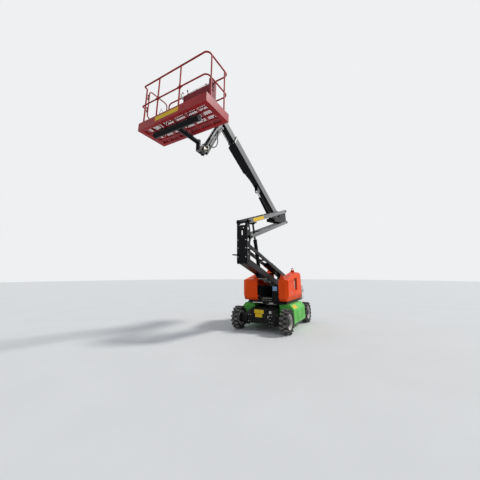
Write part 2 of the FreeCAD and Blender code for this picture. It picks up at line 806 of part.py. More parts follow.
def make_lower_link():
    """Upper of the two lower arms: twin bars joined by cross tubes, with room for the cylinder between."""
    bars = twin_bars(B0, B1, lower_link_inner, lower_link_bar, lower_link_half_depth, boss_radius, pin_radius)
    tubes = [cross_tube(along(B0, lower_angle, share * lower_length), 26, lower_link_inner)
             for share in (0.893, 0.6)]
    d, t, outer = link_box_half_depth, link_box_sheet, lower_link_inner + lower_link_bar
    casing = beam(B0, lower_angle, link_box_start, link_box_end, -d, d, -outer, outer)
    casing = casing.cut(beam(B0, lower_angle, link_box_start - 1, link_box_end + 1, t - d, d - t, -outer + t, outer - t))
    return fuse(bars + tubes + [casing])


def make_riser():
    """Upright link between the lower and upper arms: two cheeks, a slotted front plate and cross tubes."""
    y0, y1 = riser_plate_inner, riser_plate_inner + riser_plate
    back, front = -riser_rear_depth, riser_front_depth
    outline = [shifted(A1, -70, -70), shifted(A1, 60, -90), shifted(A1, front, -40), shifted(U1, front, 40),
               shifted(U1, 60, 62), shifted(U1, -60, 62), shifted(U1, -70, -100), shifted(V1, -55, 50),
               shifted(V1, -55, -60), shifted(B1, back, 60), shifted(B1, back, -120)]
    cheek = plate(outline, y0, y1)
    windows = [
        # pin below, x ahead of it, z above it, half length, radius of the round ends
        (A1, 20, 265, 60, 46), (A1, 25, 620, 70, 34), (U1, 20, -210, 0, 42),
    ]
    for pin, ahead, up, half, r in windows:
        x, z = shifted(pin, ahead, up)
        cutters = [rod_y((x, z + half), r, y0 - 1, y1 + 1)]
        if half:
            cutters.append(rod_y((x, z - half), r, y0 - 1, y1 + 1))
            cutters.append(box(x - r, x + r, y0 - 1, y1 + 1, z - half, z + half))
        cheek = cheek.cut(cutters)
    front_x = A1[0] + front
    front_plate = box(front_x - 12, front_x, -y0 - 1, y0 + 1, A1[1] + 20, U1[1] - 110)
    holes = [rod_x(y, A1[1] + z, 20, front_x - 20, front_x + 8) for y, z in ((-45, 905), (45, 905))]
    slot = box(front_x - 20, front_x + 8, -26, 26, A1[1] + 690, A1[1] + 820)
    front_plate = front_plate.cut(holes + [slot])
    parts = both_sides(cheek) + [front_plate]
    reach_in = y1 + 8
    for pivot in (A1, B1):
        parts.append(rod_y(pivot, pin_radius, -reach_in, reach_in))
    reach_out = upper_bar_inner + upper_bar + 14
    for pivot in (U1, V1):
        parts.append(rod_y(pivot, pin_radius, -reach_out, reach_out))
    ring_z = A1[1] + 150
    ring = pipe([(front_x - 6, -92, ring_z), (front_x + 200, -92, ring_z), (front_x + 200, -200, ring_z),
                 (front_x - 30, -200, ring_z), (front_x - 30, -y1 + 1, ring_z)], 12, [50, 50, 40])
    parts.append(ring)
    return fuse(parts)


def make_upper_main():
    bars = twin_bars(U1, U2, upper_bar_inner, upper_bar, upper_main_half_depth, boss_radius, pin_radius)
    d = arm_eye_distance
    degrees = 180 - upper_angle
    cross = beam(U1, degrees, d - 190, d - 70, 40, 120, -upper_bar_inner - 1, upper_bar_inner + 1)
    ear_outline = [along(U1, degrees, d + s, n) for s, n in
                   ((-120, 60), (-100, 118), (0, arm_eye_drop + 48), (45, arm_eye_drop + 30),
                    (45, arm_eye_drop - 40), (0, 60))]
    ears = both_sides(plate(ear_outline, arm_rod_radius + 8, arm_rod_radius + 28))
    return fuse(bars + [cross] + ears)


def make_upper_link():
    bars = twin_bars(V1, V2, upper_bar_inner, upper_bar, upper_link_half_depth, boss_radius, pin_radius)
    degrees = angle_of(V1, V2)
    tubes = [cross_tube(along(V1, degrees, share * upper_length), 22, upper_bar_inner) for share in (0.079, 0.35)]
    return fuse(bars + tubes)


def make_knee():
    """Casting at the end of the upper arms: cheeks that reach forward to the boom cylinder's foot."""
    y0, y1 = knee_half_width - knee_plate, knee_half_width
    outline = [shifted(U2, -50, 56), shifted(U2, 60, 56), shifted(U2, 120, -120), shifted(P0, 60, 92),
               shifted(P0, 110, 20), shifted(C0, 30, 60), shifted(C0, 62, 20), shifted(C0, 62, -28),
               shifted(C0, 30, -55), shifted(V2, 60, -56), shifted(V2, -50, -56)]
    parts = both_sides(plate(outline, y0, y1))
    parts.append(box(V2[0] + 70, V2[0] + 84, -y0 - 1, y0 + 1, V2[1] - 40, U2[1] - 60))
    reach = upper_bar_inner + upper_bar + 14
    for pivot in (U2, V2):
        parts.append(rod_y(pivot, pin_radius, -reach, reach))
    parts.append(rod_y(P0, pin_radius + 4, -y1 - 6, y1 + 6))
    parts.append(rod_y(C0, pin_radius, -y1 - 6, y1 + 6))
    return fuse(parts)


# Main boom

def make_boom():
    """Outer box of the main boom, open at the front, with the lug of its lifting cylinder."""
    w, h, t = boom_half_width, boom_half_height, boom_wall
    tube = beam(P0, boom_angle, 240, boom_outer_length, -h, h, -w, w)
    tube = tube.cut(beam(P0, boom_angle, 300, boom_outer_length + 1, -h + t, h - t, -w + t, w - t))
    collar = beam(P0, boom_angle, boom_outer_length - 45, boom_outer_length, -h - 12, h + 12, -w - 12, w + 12)
    collar = collar.cut(beam(P0, boom_angle, boom_outer_length - 50, boom_outer_length + 1, -h + t, h - t, -w + t, w - t))
    foot = plate([along(P0, boom_angle, s, n) for s, n in
                  ((-60, -40), (0, -70), (100, -90), (260, -h), (260, h), (60, 84), (-30, 60))], -w, w)
    ears = both_sides(plate([along(P0, boom_angle, boom_lug_distance + s, n) for s, n in
                             ((-100, -h + 2), (-58, -boom_lug_drop - 30), (0, -boom_lug_drop - 52),
                              (55, -boom_lug_drop - 20), (170, -h + 2))],
                            boom_cylinder_rod_radius + 8, boom_cylinder_rod_radius + 28))
    pads = slide_pads(boom_outer_length - 70, boom_outer_length - 2, pin_gap, boom_slide_gap + 1)
    shape = fuse([tube, foot] + ears + [collar] + pads)
    return shape.cut(rod_y(P0, pin_radius + 4 + pin_gap, -w - 1, w + 1))


def slide_pads(s0, s1, clear, reach):
    """Wear pads on the four sides of the inner boom, between two clearances from its faces."""
    w = boom_half_width - boom_wall - boom_slide_gap
    h = boom_half_height - boom_wall - boom_slide_gap
    pads = [beam(P0, boom_angle, s0, s1, *sorted((side * (h + clear), side * (h + reach))), -w + 15, w - 15)
            for side in (-1, 1)]
    pads += [beam(P0, boom_angle, s0, s1, -h + 15, h - 15, *sorted((side * (w + clear), side * (w + reach))))
             for side in (-1, 1)]
    return pads


def make_inner_boom():
    w = boom_half_width - boom_wall - boom_slide_gap
    h = boom_half_height - boom_wall - boom_slide_gap
    start = boom_outer_length - boom_inner_overlap
    body = beam(P0, boom_angle, start, boom_tip_length - 60, -h, h, -w, w)
    body = body.cut(beam(P0, boom_angle, start - 1, boom_tip_length - 240, -h + 8, h - 8, -w + 8, w - 8))
    pads = slide_pads(start + 10, start + 80, -1, boom_slide_gap - pin_gap)
    nose = plate([along(P0, boom_angle, boom_tip_length + s, n) for s, n in
                  ((-100, -h), (20, -h - 6), (48, -h + 12), (48, -40), (30, -5), (-20, 40), (-60, h))], -w, w)
    half_slot = head_half_width + side_gap
    slot = beam(P0, boom_angle, boom_tip_length - 100, boom_tip_length + 100, -200, 5, -half_slot, half_slot)
    shape = fuse([body, nose]).cut(slot)
    shape = shape.cut(rod_y(T0, pin_radius + pin_gap, -w - 1, w + 1))
    return fuse([shape] + pads)


def make_cable_tray():
    """Open channel for the energy chain, on the right side of the main boom."""
    y1 = -boom_half_width
    y0 = y1 - tray_width
    n0, n1 = -boom_half_height + 25, -boom_half_height + 165
    s0, s1 = boom_outer_length - 1170, boom_outer_length - 150
    tray = beam(P0, boom_angle, s0, s1, n0, n1, y0, y1)
    return tray.cut(beam(P0, boom_angle, s0 - 10, s1 + 10, n0 + 6, n1 - 30, y0 + 6, y1 - 6))


def make_boom_head():
    """Levelled head at the tip of the inner boom: two cheeks with the jib's pins, the cylinder between them."""
    y0, y1 = jib_cylinder_radius + 6, head_half_width
    straps = [
        # from, to, half width, radius at the start, radius at the end
        (T0, J0, 40, 46, 48),
        (J0, K0, 38, 48, 42),
    ]
    pieces = []
    for start, end, half, r0, r1 in straps:
        pieces.append(beam(start, angle_of(start, end), 0, span(start, end), -half, half, y0, y1))
        pieces += [rod_y(start, r0, y0, y1), rod_y(end, r1, y0, y1)]
    reach = jib_bar_inner + jib_bar + 10
    half_pin = boom_half_width - boom_wall - boom_slide_gap + 8
    pins = [rod_y(T0, 46, -y1, y1), rod_y(T0, pin_radius, -half_pin, half_pin)]
    pins += both_sides(rod_y(J0, jib_pin_radius, y0, reach))
    pins.append(rod_y(K0, jib_pin_radius, -reach, reach))
    return fuse(both_sides(fuse(pieces)) + pins)


def make_jib_arm():
    """Upper of the two jib arms: twin bars joined by a cross tube above the cylinder."""
    bars = twin_bars(J0, J1, jib_bar_inner, jib_bar, jib_half_depth, jib_half_depth, jib_pin_radius)
    tube = cross_tube(along(J0, jib_angle, 200, 26), 12, jib_bar_inner)
    route = [along(J0, jib_angle, s, n) for s, n in jib_hose_route]
    y0, y1 = jib_bar_inner + jib_bar - 1, jib_hose_y + jib_hose_radius + 6
    half = hose_clamp_half
    first = beam(route[0], angle_of(route[0], route[1]), -hose_clamp_length, 0, -half, half, y0, y1)
    last = beam(route[-1], angle_of(route[-2], route[-1]), 0, hose_clamp_length, -half, half, y0, y1)
    return fuse(bars + [tube, first, last])


def make_jib_hose():
    """Slack hose loop at the left of the jib, from one clamp of the upper arm to the other."""
    points = [along(J0, jib_angle, s, n) for s, n in jib_hose_route]
    vectors = [Vector(x, jib_hose_y, z) for x, z in points]
    runs = [(b - a).Length for a, b in zip(vectors, vectors[1:])]
    bends = []
    for i in range(1, len(vectors) - 1):
        before, after = vectors[i] - vectors[i - 1], vectors[i + 1] - vectors[i]
        bends.append(0.45 * min(runs[i - 1], runs[i]) / math.tan(before.getAngle(after) / 2))
    print("jib hose bend radii", [round(bend) for bend in bends])
    return pipe([tuple(v) for v in vectors], jib_hose_radius, bends)


def make_jib_link():
    """Lower of the two jib arms: two separate bars on the same pins."""
    bars = twin_bars(K0, K1, jib_bar_inner, jib_bar, jib_link_half_depth, jib_link_eye, jib_pin_radius)
    return Part.makeCompound(bars)


def make_jib_head():
    """Bracket at the end of the jib that reaches forward to the rotary actuator of the platform."""
    y = head_half_width + 2
    ahead = rotator_ahead - 20
    outline = [shifted(K1, -34, -34), shifted(K1, 30, -40), shifted(J1, ahead, -rotator_drop + 8),
               shifted(J1, ahead, -70), shifted(J1, 50, 34), shifted(J1, -34, 34)]
    parts = both_sides(plate(outline, y - 14, y))
    reach = jib_bar_inner + jib_bar + 10
    for pivot in (J1, K1):
        parts += both_sides(rod_y(pivot, jib_pin_radius, y - 2, reach))
    parts.append(rod_y(K1, jib_pin_radius, -y, y))
    parts.append(rod_z(rotator_x, 0, rotator_radius, J1[1] - rotator_drop, rotator_top))
    parts.append(rod_z(rotator_x, 0, rotator_pin, rotator_top - 1, rotator_top + 95))
    return fuse(parts)


def make_platform_support():
    """T of round tube under the platform: hub on the rotator, stem, and cross tube with end caps."""
    x = platform_x + support_reach
    hub_top = rotator_top + hub_height
    hub = rod_z(rotator_x, 0, rotator_radius + 2, rotator_top + pin_gap, hub_top)
    stem = rod_x(0, support_z, support_stem_radius, rotator_x + 40, x)
    ends = (-615, 585)
    cross = rod_y((x, support_z), support_cross_radius, *ends)
    caps = [rod_y((x, support_z), support_cross_radius + 4, y - side, y - side + support_cap)
            for y, side in ((ends[0], support_cap - 2), (ends[1], 2))]
    saddles = [box(x - 45, x + 45, y, y + 60, support_z + 20, platform_bottom) for y in (-430, 370)]
    shape = fuse([hub, stem, cross] + caps + saddles)
    return shape.cut(rod_z(rotator_x, 0, rotator_pin + pin_gap, rotator_top - 1, rotator_top + 95 + pin_gap))


def make_platform_frame():
    """Deck frame: perimeter channel and ribs."""
    half = platform_width / 2
    z0, z1 = platform_bottom, platform_bottom + deck_frame_height
    inner = box(platform_rear + border_x, platform_front - border_x, -half + border_y, half - border_y, z0 - 1, z1 + 1)
    ring = box(platform_rear, platform_front, -half, half, z0, z1).cut(inner)
    ribs = [box(platform_rear + border_x - 2, platform_front - border_x + 2, y - 15, y + 15, z0, z1)
            for y in (step * rib_pitch_y for step in range(-2, 3))]
    ribs += [box(x - 12, x + 12, -half + border_y - 2, half - border_y + 2, z0, z1 - 4)
             for x in (platform_x + step * rib_pitch_x for step in (-1, 0, 1))]
    return fuse([ring] + ribs)


def make_floor():
    half = platform_width / 2 - floor_inset
    return box(platform_rear + floor_inset, platform_front - floor_inset, -half, half, floor_top - floor_sheet, floor_top)


def make_toe_board():
    half = platform_width / 2
    z0, z1 = platform_bottom + deck_frame_height, platform_bottom + toe_height
    outer = box(platform_rear, platform_front, -half, half, z0, z1)
    t = toe_sheet
    return outer.cut(box(platform_rear + t, platform_front - t, -half + t, half - t, z0 - 1, z1 + 1))


def rail_post(x, y):
    return rod_z(x, y, post_radius, platform_bottom + deck_frame_height, rail_top_z)


def make_guardrail_front():
    """Front rails: round the left corner, and round the right corner back and down into the gate's post."""
    post_x, corner_x = rail_front_x - rail_return, rail_front_x - rail_corner
    tight = rail_return_bend
    base = platform_bottom + deck_frame_height
    parts = [
        pipe([(post_x, -rail_half, base), (post_x, -rail_half, rail_top_z), (rail_front_x, -rail_half, rail_top_z),
              (rail_front_x, rail_half, rail_top_z), (corner_x, rail_half, rail_top_z)],
             rail_radius, [tight, tight, rail_corner]),
        pipe([(post_x, -rail_half, rail_mid_z), (rail_front_x, -rail_half, rail_mid_z),
              (rail_front_x, rail_half, rail_mid_z), (corner_x, rail_half, rail_mid_z)],
             mid_rail_radius, [tight, rail_corner]),
    ]
    for y in front_posts:
        parts.append(rail_post(rail_front_x, y))
        parts.append(rod_y((rail_front_x, rail_mid_z), rail_sleeve_radius, y - 35, y + 35))
    for height in gate_hinge_heights:
        z = platform_bottom + height
        parts.append(box(gate_x, post_x, -rail_half - 8, -rail_half + 8, z - side_gap - 10, z - side_gap))
        parts.append(rod_z(gate_x, -rail_half, 8, z - side_gap - 10, z - side_gap))
        parts.append(rod_z(gate_x, -rail_half, gate_pin_radius, z - side_gap - 1, z + 56))
    return fuse(parts)


def make_guardrail_left():
    """Left rails between the two rounded corners, with a post at each end."""
    ends = (rail_rear_x + rail_corner, rail_front_x - rail_corner)
    rails = [rod_x(rail_half, rail_top_z, rail_radius, *ends), rod_x(rail_half, rail_mid_z, mid_rail_radius, *ends)]
    posts = [rail_post(x, rail_half) for x in (ends[0] + post_radius + 9, ends[1] - post_radius - 9)]
    return fuse(rails + posts)


def make_guardrail_rear():
    """Rear rails: round the left corner, and at the right end bent down into a post, with one post between."""
    end_y = -rail_half + rear_end_from_side
    corner_x = rail_rear_x + rail_corner
    base = platform_bottom + deck_frame_height
    parts = [
        pipe([(corner_x, rail_half, rail_top_z), (rail_rear_x, rail_half, rail_top_z), (rail_rear_x, end_y, rail_top_z),
              (rail_rear_x, end_y, base)], rail_radius, [rail_corner, gate_corner]),
        pipe([(corner_x, rail_half, rail_mid_z), (rail_rear_x, rail_half, rail_mid_z), (rail_rear_x, end_y, rail_mid_z)],
             mid_rail_radius, rail_corner),
    ]
    parts += [rail_post(rail_rear_x, y) for y in (console_right + 20, console_left - 20)]
    return fuse(parts)


def make_gate():
    """Swing gate of the platform's right side: rounded tube frame above the toe board, with two hinge barrels."""
    x0, x1 = rail_rear_x + gate_tube, gate_x - 22
    bottom = platform_bottom + gate_bottom_height
    middle = (bottom + rail_top_z) / 2
    halves = [pipe([(x0, -rail_half, middle), (x0, -rail_half, z), (x1, -rail_half, z), (x1, -rail_half, middle)],
                   gate_tube, gate_corner) for z in (rail_top_z, bottom)]
    parts = halves
    for height in gate_hinge_heights:
        z = platform_bottom + height
        parts.append(box(x1, gate_x, -rail_half - 5, -rail_half + 5, z, z + 50))
        parts.append(rod_z(gate_x, -rail_half, 9, z, z + 50))
    shape = fuse(parts)
    for height in gate_hinge_heights:
        z = platform_bottom + height
        shape = shape.cut(rod_z(gate_x, -rail_half, gate_pin_radius + pin_gap, z - 1, z + 51))
    return shape


def make_console():
    """Control console on the rear rails: a wide moulded box with a taller rounded end panel at the left."""
    x = rail_rear_x + post_radius + pin_gap
    bottom, top = platform_bottom + console_bottom, platform_bottom + console_top
    outline = [(x, bottom), (x + 90, bottom), (x + 150, bottom + 160), (x + 150, top - 60), (x + 100, top), (x, top)]
    body = plate(outline, console_right, console_left)
    high = platform_bottom + console_panel_top
    panel = box(x, x + 200, console_left - console_panel, console_left + 1, bottom - 20, high)
    corners = [e for e in panel.Edges if e.BoundBox.YLength > console_panel and e.BoundBox.ZMin > high - 1]
    panel = panel.makeFillet(70, corners)
    slots = [box(x + 60, x + 140, console_left - console_panel - 1, console_left + 2, high - z, high - z + 40)
             for z in (150, 230, 310)]
    shape = fuse([body.cut(box(x - 1, x + 201, console_left - console_panel, console_left + 1, bottom - 1, top + 1)), panel])
    return shape.cut(slots)


# Cylinders

def make_barrel(foot, end, radius, rod_radius, length, eye_half, foot_pin):
    """Hydraulic cylinder barrel with its foot eye, bored for its pin and its rod."""
    degrees = angle_of(foot, end)
    direction = Vector(math.cos(math.radians(degrees)), 0, math.sin(math.radians(degrees)))
    start = Vector(foot[0], 0, foot[1])
    tube = Part.makeCylinder(radius, length - radius * 0.6, start + direction * radius * 0.6, direction)
    gland = Part.makeCylinder(radius + 5, 50, start + direction * (length - 50), direction)
    shape = fuse([tube, gland, rod_y(foot, radius, -eye_half, eye_half)])
    bore = Part.makeCylinder(rod_radius + pin_gap, length, start + direction * radius * 1.3, direction)
    return shape.cut([rod_y(foot, foot_pin + pin_gap, -eye_half - 1, eye_half + 1), bore])


def make_rod(foot, end, rod_radius, reach, eye_radius, eye_half):
    """Piston rod with its eye at the far end."""
    degrees = angle_of(foot, end)
    direction = Vector(math.cos(math.radians(degrees)), 0, math.sin(math.radians(degrees)))
    tip = Vector(end[0], 0, end[1])
    rod = Part.makeCylinder(rod_radius, reach - eye_radius * 0.5, tip - direction * reach, direction)
    return fuse([rod, rod_y(end, eye_radius, -eye_half, eye_half)])


def save_cylinders():
    cylinders = [
        # name, foot, eye, barrel radius, rod radius, barrel length, rod length, half foot, foot pin, eye radius
        ("arm", E0, E1, arm_cylinder_radius, arm_rod_radius, arm_barrel_length, arm_rod_length, 60, pin_radius, 44),
        ("boom", C0, C1, boom_cylinder_radius, boom_cylinder_rod_radius, boom_barrel_length, boom_rod_length, 60,
         pin_radius, 42),
        ("jib", K0, J1, jib_cylinder_radius, jib_rod_radius, jib_barrel_length, jib_rod_length, 24, jib_pin_radius, 26),
    ]
    for name, foot, end, radius, rod, length, rod_length, half_foot, foot_pin, eye_radius in cylinders:
        save(name + "_cylinder", make_barrel(foot, end, radius, rod, length, half_foot, foot_pin))
        save(name + "_rod", make_rod(foot, end, rod, rod_length, eye_radius, rod + 5 - side_gap + 2))


def main():
    os.makedirs("parts", exist_ok=True)
    save_wheels()
    save("chassis_frame", make_frame())
    side_box = make_side_box()
    save("side_box_left", side_box)
    save("side_box_right", mirrored(side_box))
    hub = make_drive_hub()
    save("drive_hub_left", hub)
    save("drive_hub_right", mirrored(hub))
    save("rear_axle", make_rear_axle())
    save("knuckle_left", make_knuckle(1))
    save("knuckle_right", make_knuckle(-1))
    save("tie_rod", make_tie_rod())
    save("steer_cylinder", make_steer_cylinder())
    save("steer_rod", make_steer_rod())
    save("slew_ring", make_slew_ring())
    save("turntable_deck", make_deck())
    save("tower", make_tower())
    save("counterweight", make_counterweight())
    save_hoods()
    save("battery_pack", make_battery())
    save("power_pack", make_power_pack())
    save("valve_boxes", make_valve_box())
    save("lower_arm", make_lower_main())
    save("lower_link", make_lower_link())
    save("riser", make_riser())
    save("upper_arm", make_upper_main())
    save("upper_link", make_upper_link())
    save("knee", make_knee())
    save("boom", make_boom())
    save("inner_boom", make_inner_boom())
    save("cable_tray", make_cable_tray())
    save("boom_head", make_boom_head())
    save("jib_arm", make_jib_arm())
    save("jib_hose", make_jib_hose())
    save("jib_link", make_jib_link())
    save("jib_head", make_jib_head())
    save("platform_support", make_platform_support())
    save("platform_frame", make_platform_frame())
    save("platform_floor", make_floor())
    save("toe_board", make_toe_board())
    save("guardrail_front", make_guardrail_front())
    save("guardrail_left", make_guardrail_left())
    save("guardrail_rear", make_guardrail_rear())
    save("gate", make_gate())
    save("console", make_console())
    save_cylinders()


main()
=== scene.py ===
# %% [markdown]
# Articulating boom lift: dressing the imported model
#
# The construction is already there: every tube, plate and pin is loaded at its real place and size.

# %% Load the frame
import json
import math

import bmesh
import bpy
from mathutils import Matrix, Vector


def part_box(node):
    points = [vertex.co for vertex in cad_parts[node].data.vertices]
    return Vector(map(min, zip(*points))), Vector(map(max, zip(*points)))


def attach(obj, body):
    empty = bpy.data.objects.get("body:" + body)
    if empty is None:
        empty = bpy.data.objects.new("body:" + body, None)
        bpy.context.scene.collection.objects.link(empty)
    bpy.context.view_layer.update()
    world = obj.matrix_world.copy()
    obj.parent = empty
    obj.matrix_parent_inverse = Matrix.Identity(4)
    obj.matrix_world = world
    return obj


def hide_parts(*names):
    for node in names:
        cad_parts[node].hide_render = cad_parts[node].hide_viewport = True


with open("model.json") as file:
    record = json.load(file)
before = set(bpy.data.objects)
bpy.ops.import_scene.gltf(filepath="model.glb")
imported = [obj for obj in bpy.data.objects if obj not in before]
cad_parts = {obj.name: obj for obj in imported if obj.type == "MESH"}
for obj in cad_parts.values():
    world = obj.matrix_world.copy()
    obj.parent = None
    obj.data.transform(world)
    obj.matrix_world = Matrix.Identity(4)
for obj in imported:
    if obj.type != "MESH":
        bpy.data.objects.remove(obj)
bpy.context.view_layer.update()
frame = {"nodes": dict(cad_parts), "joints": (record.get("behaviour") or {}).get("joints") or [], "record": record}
nodes = frame["nodes"]

# %% [markdown]
# The camera stands where the photographer stood, at eye height in front of the machine's left
# corner, and looks up by some fourteen degrees. A wide lens makes the platform loom. The lens
# and the shift come from the picture's own size, so its framing is the photograph's.

# %% Camera
PICTURE_SIDE = 480
CAMERA_PLACE = Vector((5.840, 3.151, 1.635))
CAMERA_FORWARD = Vector((-0.8393, -0.4840, 0.2482))
CAMERA_ROLL = math.radians(-0.104)
FOCAL_PIXELS = 232.6
OPTICAL_CENTRE = (240.5, 213.5)
SENSOR = 36.0

scene = bpy.context.scene
camera_data = bpy.data.cameras.new("camera")
camera_data.sensor_width = SENSOR
camera_data.lens = FOCAL_PIXELS / PICTURE_SIDE * SENSOR
camera_data.shift_x = (PICTURE_SIDE / 2 - OPTICAL_CENTRE[0]) / PICTURE_SIDE
camera_data.shift_y = (OPTICAL_CENTRE[1] - PICTURE_SIDE / 2) / PICTURE_SIDE
camera_data.clip_end = 200
camera = bpy.data.objects.new("camera", camera_data)
camera.location = CAMERA_PLACE
camera.rotation_mode = "QUATERNION"
camera.rotation_quaternion = CAMERA_FORWARD.to_track_quat("-Z", "Y")
camera.rotation_quaternion @= Matrix.Rotation(CAMERA_ROLL, 3, "Z").to_quaternion()
scene.collection.objects.link(camera)
scene.camera = camera
print("lens", round(camera_data.lens, 2), "mm")

# %% [markdown]
# Daylight from the machine's left is imitated by one broad lamp. Its width softens the edges of
# the shadows, and the Standard view keeps the colours as they are mixed below.

# %% Sunlight
SUN_DIRECTION = Vector((0.42, -0.62, -0.66))
SUN_STRENGTH = 2.6
SUN_SIZE = math.radians(9)

sun_data = bpy.data.lights.new("sun", "SUN")
sun_data.energy = SUN_STRENGTH
sun_data.angle = SUN_SIZE
sun = bpy.data.objects.new("sun", sun_data)
sun.rotation_mode = "QUATERNION"
sun.rotation_quaternion = SUN_DIRECTION.to_track_quat("-Z", "Y")
scene.collection.objects.link(sun)
scene.view_settings.view_transform = "Standard"
print("sun", SUN_STRENGTH)

# %% [markdown]
# A finish is a small graph of shader nodes. Written by hand, such graphs are long and hard to
# read, so one class wraps a node's output and lets Python's own signs add the nodes: `dust * 0.5`
# makes a Math node, and `1 - dust` works as well. A second class owns a material and makes any
# other node with one method.

# %% Shader sums


class Wire:
    """The output of a shader node, ready for sums."""

    def __init__(self, finish, socket):
        self.finish = finish
        self.socket = socket

    def sum(self, operation, first, second):
        return self.finish.node("ShaderNodeMath", {"operation": operation}, {0: first, 1: second})

    def __add__(self, other):
        return self.sum("ADD", self, other)

    def __sub__(self, other):
        return self.sum("SUBTRACT", self, other)

    def __rsub__(self, other):
        return self.sum("SUBTRACT", other, self)

    def __mul__(self, other):
        return self.sum("MULTIPLY", self, other)

    def __pow__(self, other):
        return self.sum("POWER", self, other)

    def least(self, other):
        return self.sum("MINIMUM", self, other)

    def most(self, other):
        return self.sum("MAXIMUM", self, other)

    def ramp(self, low, high):
        """0 below low, 1 above high, and an even slope between."""
        return self.finish.node("ShaderNodeMapRange", {"clamp": True},
                                {"Value": self, "From Min": low, "From Max": high})


class Finish:
    """A material with one Principled shader, and short ways to make what feeds it."""

    def __init__(self, name, roughness=0.5, **constants):
        self.name = name
        self.material = bpy.data.materials.new(name)
        self.material.use_nodes = True
        self.tree = self.material.node_tree
        self.shader = self.tree.nodes["Principled BSDF"]
        self.put("Roughness", roughness)
        for socket, value in constants.items():
            self.put(socket.replace("_", " "), value)
        self.place = self.node("ShaderNodeTexCoord", {}, {}, "Object")
        self.facing = self.node("ShaderNodeTexCoord", {}, {}, "Normal")

    def node(self, kind, settings, inputs, output=0):
        """A node with its settings made first, then its sockets set to numbers or to wires."""
        made = self.tree.nodes.new(kind)
        for name, value in settings.items():
            setattr(made, name, value)
        for name, value in inputs.items():
            self.join(made.inputs[name], value)
        return Wire(self, made.outputs[output])

    def join(self, socket, value):
        if isinstance(value, Wire):
            self.tree.links.new(value.socket, socket)
        elif isinstance(value, (tuple, list, Vector)) and socket.type == "RGBA":
            socket.default_value = (*value[:3], 1.0)
        else:
            socket.default_value = value

    def put(self, socket, value):
        self.join(self.shader.inputs[socket], value)

    def mix(self, amount, first, second):
        """A colour between two others, where amount is 0 at the first and 1 at the second."""
        made = self.tree.nodes.new("ShaderNodeMix")
        made.data_type = "RGBA"
        colours = [s for s in made.inputs if s.type == "RGBA"]
        self.join(made.inputs["Factor"], amount)
        self.join(colours[0], first)
        self.join(colours[1], second)
        return Wire(self, next(s for s in made.outputs if s.type == "RGBA"))

    def noise(self, scale, detail=3.0, stretch=None):
        place = self.place if stretch is None else self.stretched(stretch)
        return self.node("ShaderNodeTexNoise", {}, {"Vector": place, "Scale": scale, "Detail": detail})

    def stretched(self, factors):
        return self.node("ShaderNodeVectorMath", {"operation": "MULTIPLY"}, {0: self.place, 1: factors})

    def part(self, vector, axis):
        return self.node("ShaderNodeSeparateXYZ", {}, {0: vector}, axis)

    def upward(self):
        """1 on faces that look up, 0 on upright and hanging ones."""
        return self.part(self.facing, "Z").ramp(0.35, 0.95)

    def round_edges(self, radius):
        return self.node("ShaderNodeBevel", {"samples": 6}, {"Radius": radius})

    def edge_mask(self, rounded):
        """1 along sharp edges, where paint rubs off first."""
        straight = self.node("ShaderNodeNewGeometry", {}, {}, "Normal")
        dot = {"operation": "DOT_PRODUCT"}
        same = self.node("ShaderNodeVectorMath", dot, {0: rounded, 1: straight}, "Value")
        return (1 - same).ramp(0.02, 0.20)

    def bump(self, height, strength, distance, normal=None):
        inputs = {"Height": height, "Strength": strength, "Distance": distance}
        if normal is not None:
            inputs["Normal"] = normal
        self.put("Normal", self.node("ShaderNodeBump", {}, inputs))


# %% [markdown]
# With these two classes, the world's light and the floor are soon made. An even pale world fills
# the shadows. The camera and gloss see a plain pale tone in its place, so the horizon stays quiet.
# The floor is a large pale disc.

# %% World and floor
FLOOR_RADIUS = 60.0
PALE = (0.86, 0.87, 0.88)
WORLD_LIGHT = (0.80, 0.86, 0.95)
WORLD_STRENGTH = 0.62


def world_light():
    """Even light in the shadows, and a plain pale background."""
    world = bpy.data.worlds.new("world")
    world.use_nodes = True
    scene.world = world
    tree = world.node_tree
    light = tree.nodes["Background"]
    light.inputs["Color"].default_value = (*WORLD_LIGHT, 1)
    light.inputs["Strength"].default_value = WORLD_STRENGTH
    seen = tree.nodes.new("ShaderNodeBackground")
    seen.inputs["Color"].default_value = (*PALE, 1)
    path = tree.nodes.new("ShaderNodeLightPath")
    mixer = tree.nodes.new("ShaderNodeMixShader")
    seen_by = path.outputs["Is Camera Ray"]
    for kind in ("Is Glossy Ray", "Is Transmission Ray"):
        either = tree.nodes.new("ShaderNodeMath")
        either.operation = "MAXIMUM"
        tree.links.new(seen_by, either.inputs[0])
        tree.links.new(path.outputs[kind], either.inputs[1])
        seen_by = either.outputs[0]
    tree.links.new(seen_by, mixer.inputs[0])
    tree.links.new(light.outputs[0], mixer.inputs[1])
    tree.links.new(seen.outputs[0], mixer.inputs[2])
    tree.links.new(mixer.outputs[0], tree.nodes["World Output"].inputs["Surface"])


def make_floor():
    mesh = bpy.data.meshes.new("floor")
    shape = bmesh.new()
    bmesh.ops.create_circle(shape, cap_ends=True, segments=96, radius=FLOOR_RADIUS)
    shape.to_mesh(mesh)
    shape.free()
    floor = bpy.data.objects.new("floor", mesh)
    scene.collection.objects.link(floor)
    finish = Finish("floor", roughness=0.9)
    finish.put("Base Color", finish.mix(finish.noise(0.8), (0.60, 0.595, 0.58), (0.66, 0.655, 0.64)))
    mesh.materials.append(finish.material)


world_light()
make_floor()
print("light and floor are in place")

# %% [markdown]
# Most of the machine is painted steel, and the hoods are moulded in orange. One function makes
# all of these: a colour that drifts a little, dust on what faces up and near the ground, bare
# metal where edges were knocked, and fine scratches that only change the gloss. A clear coat
# shines at flat angles only. It is strongest on the second black, so long arms mirror the sky.

# %% Painted surfaces
DUST = (0.36, 0.31, 0.25)
BARE_STEEL = (0.30, 0.28, 0.26)

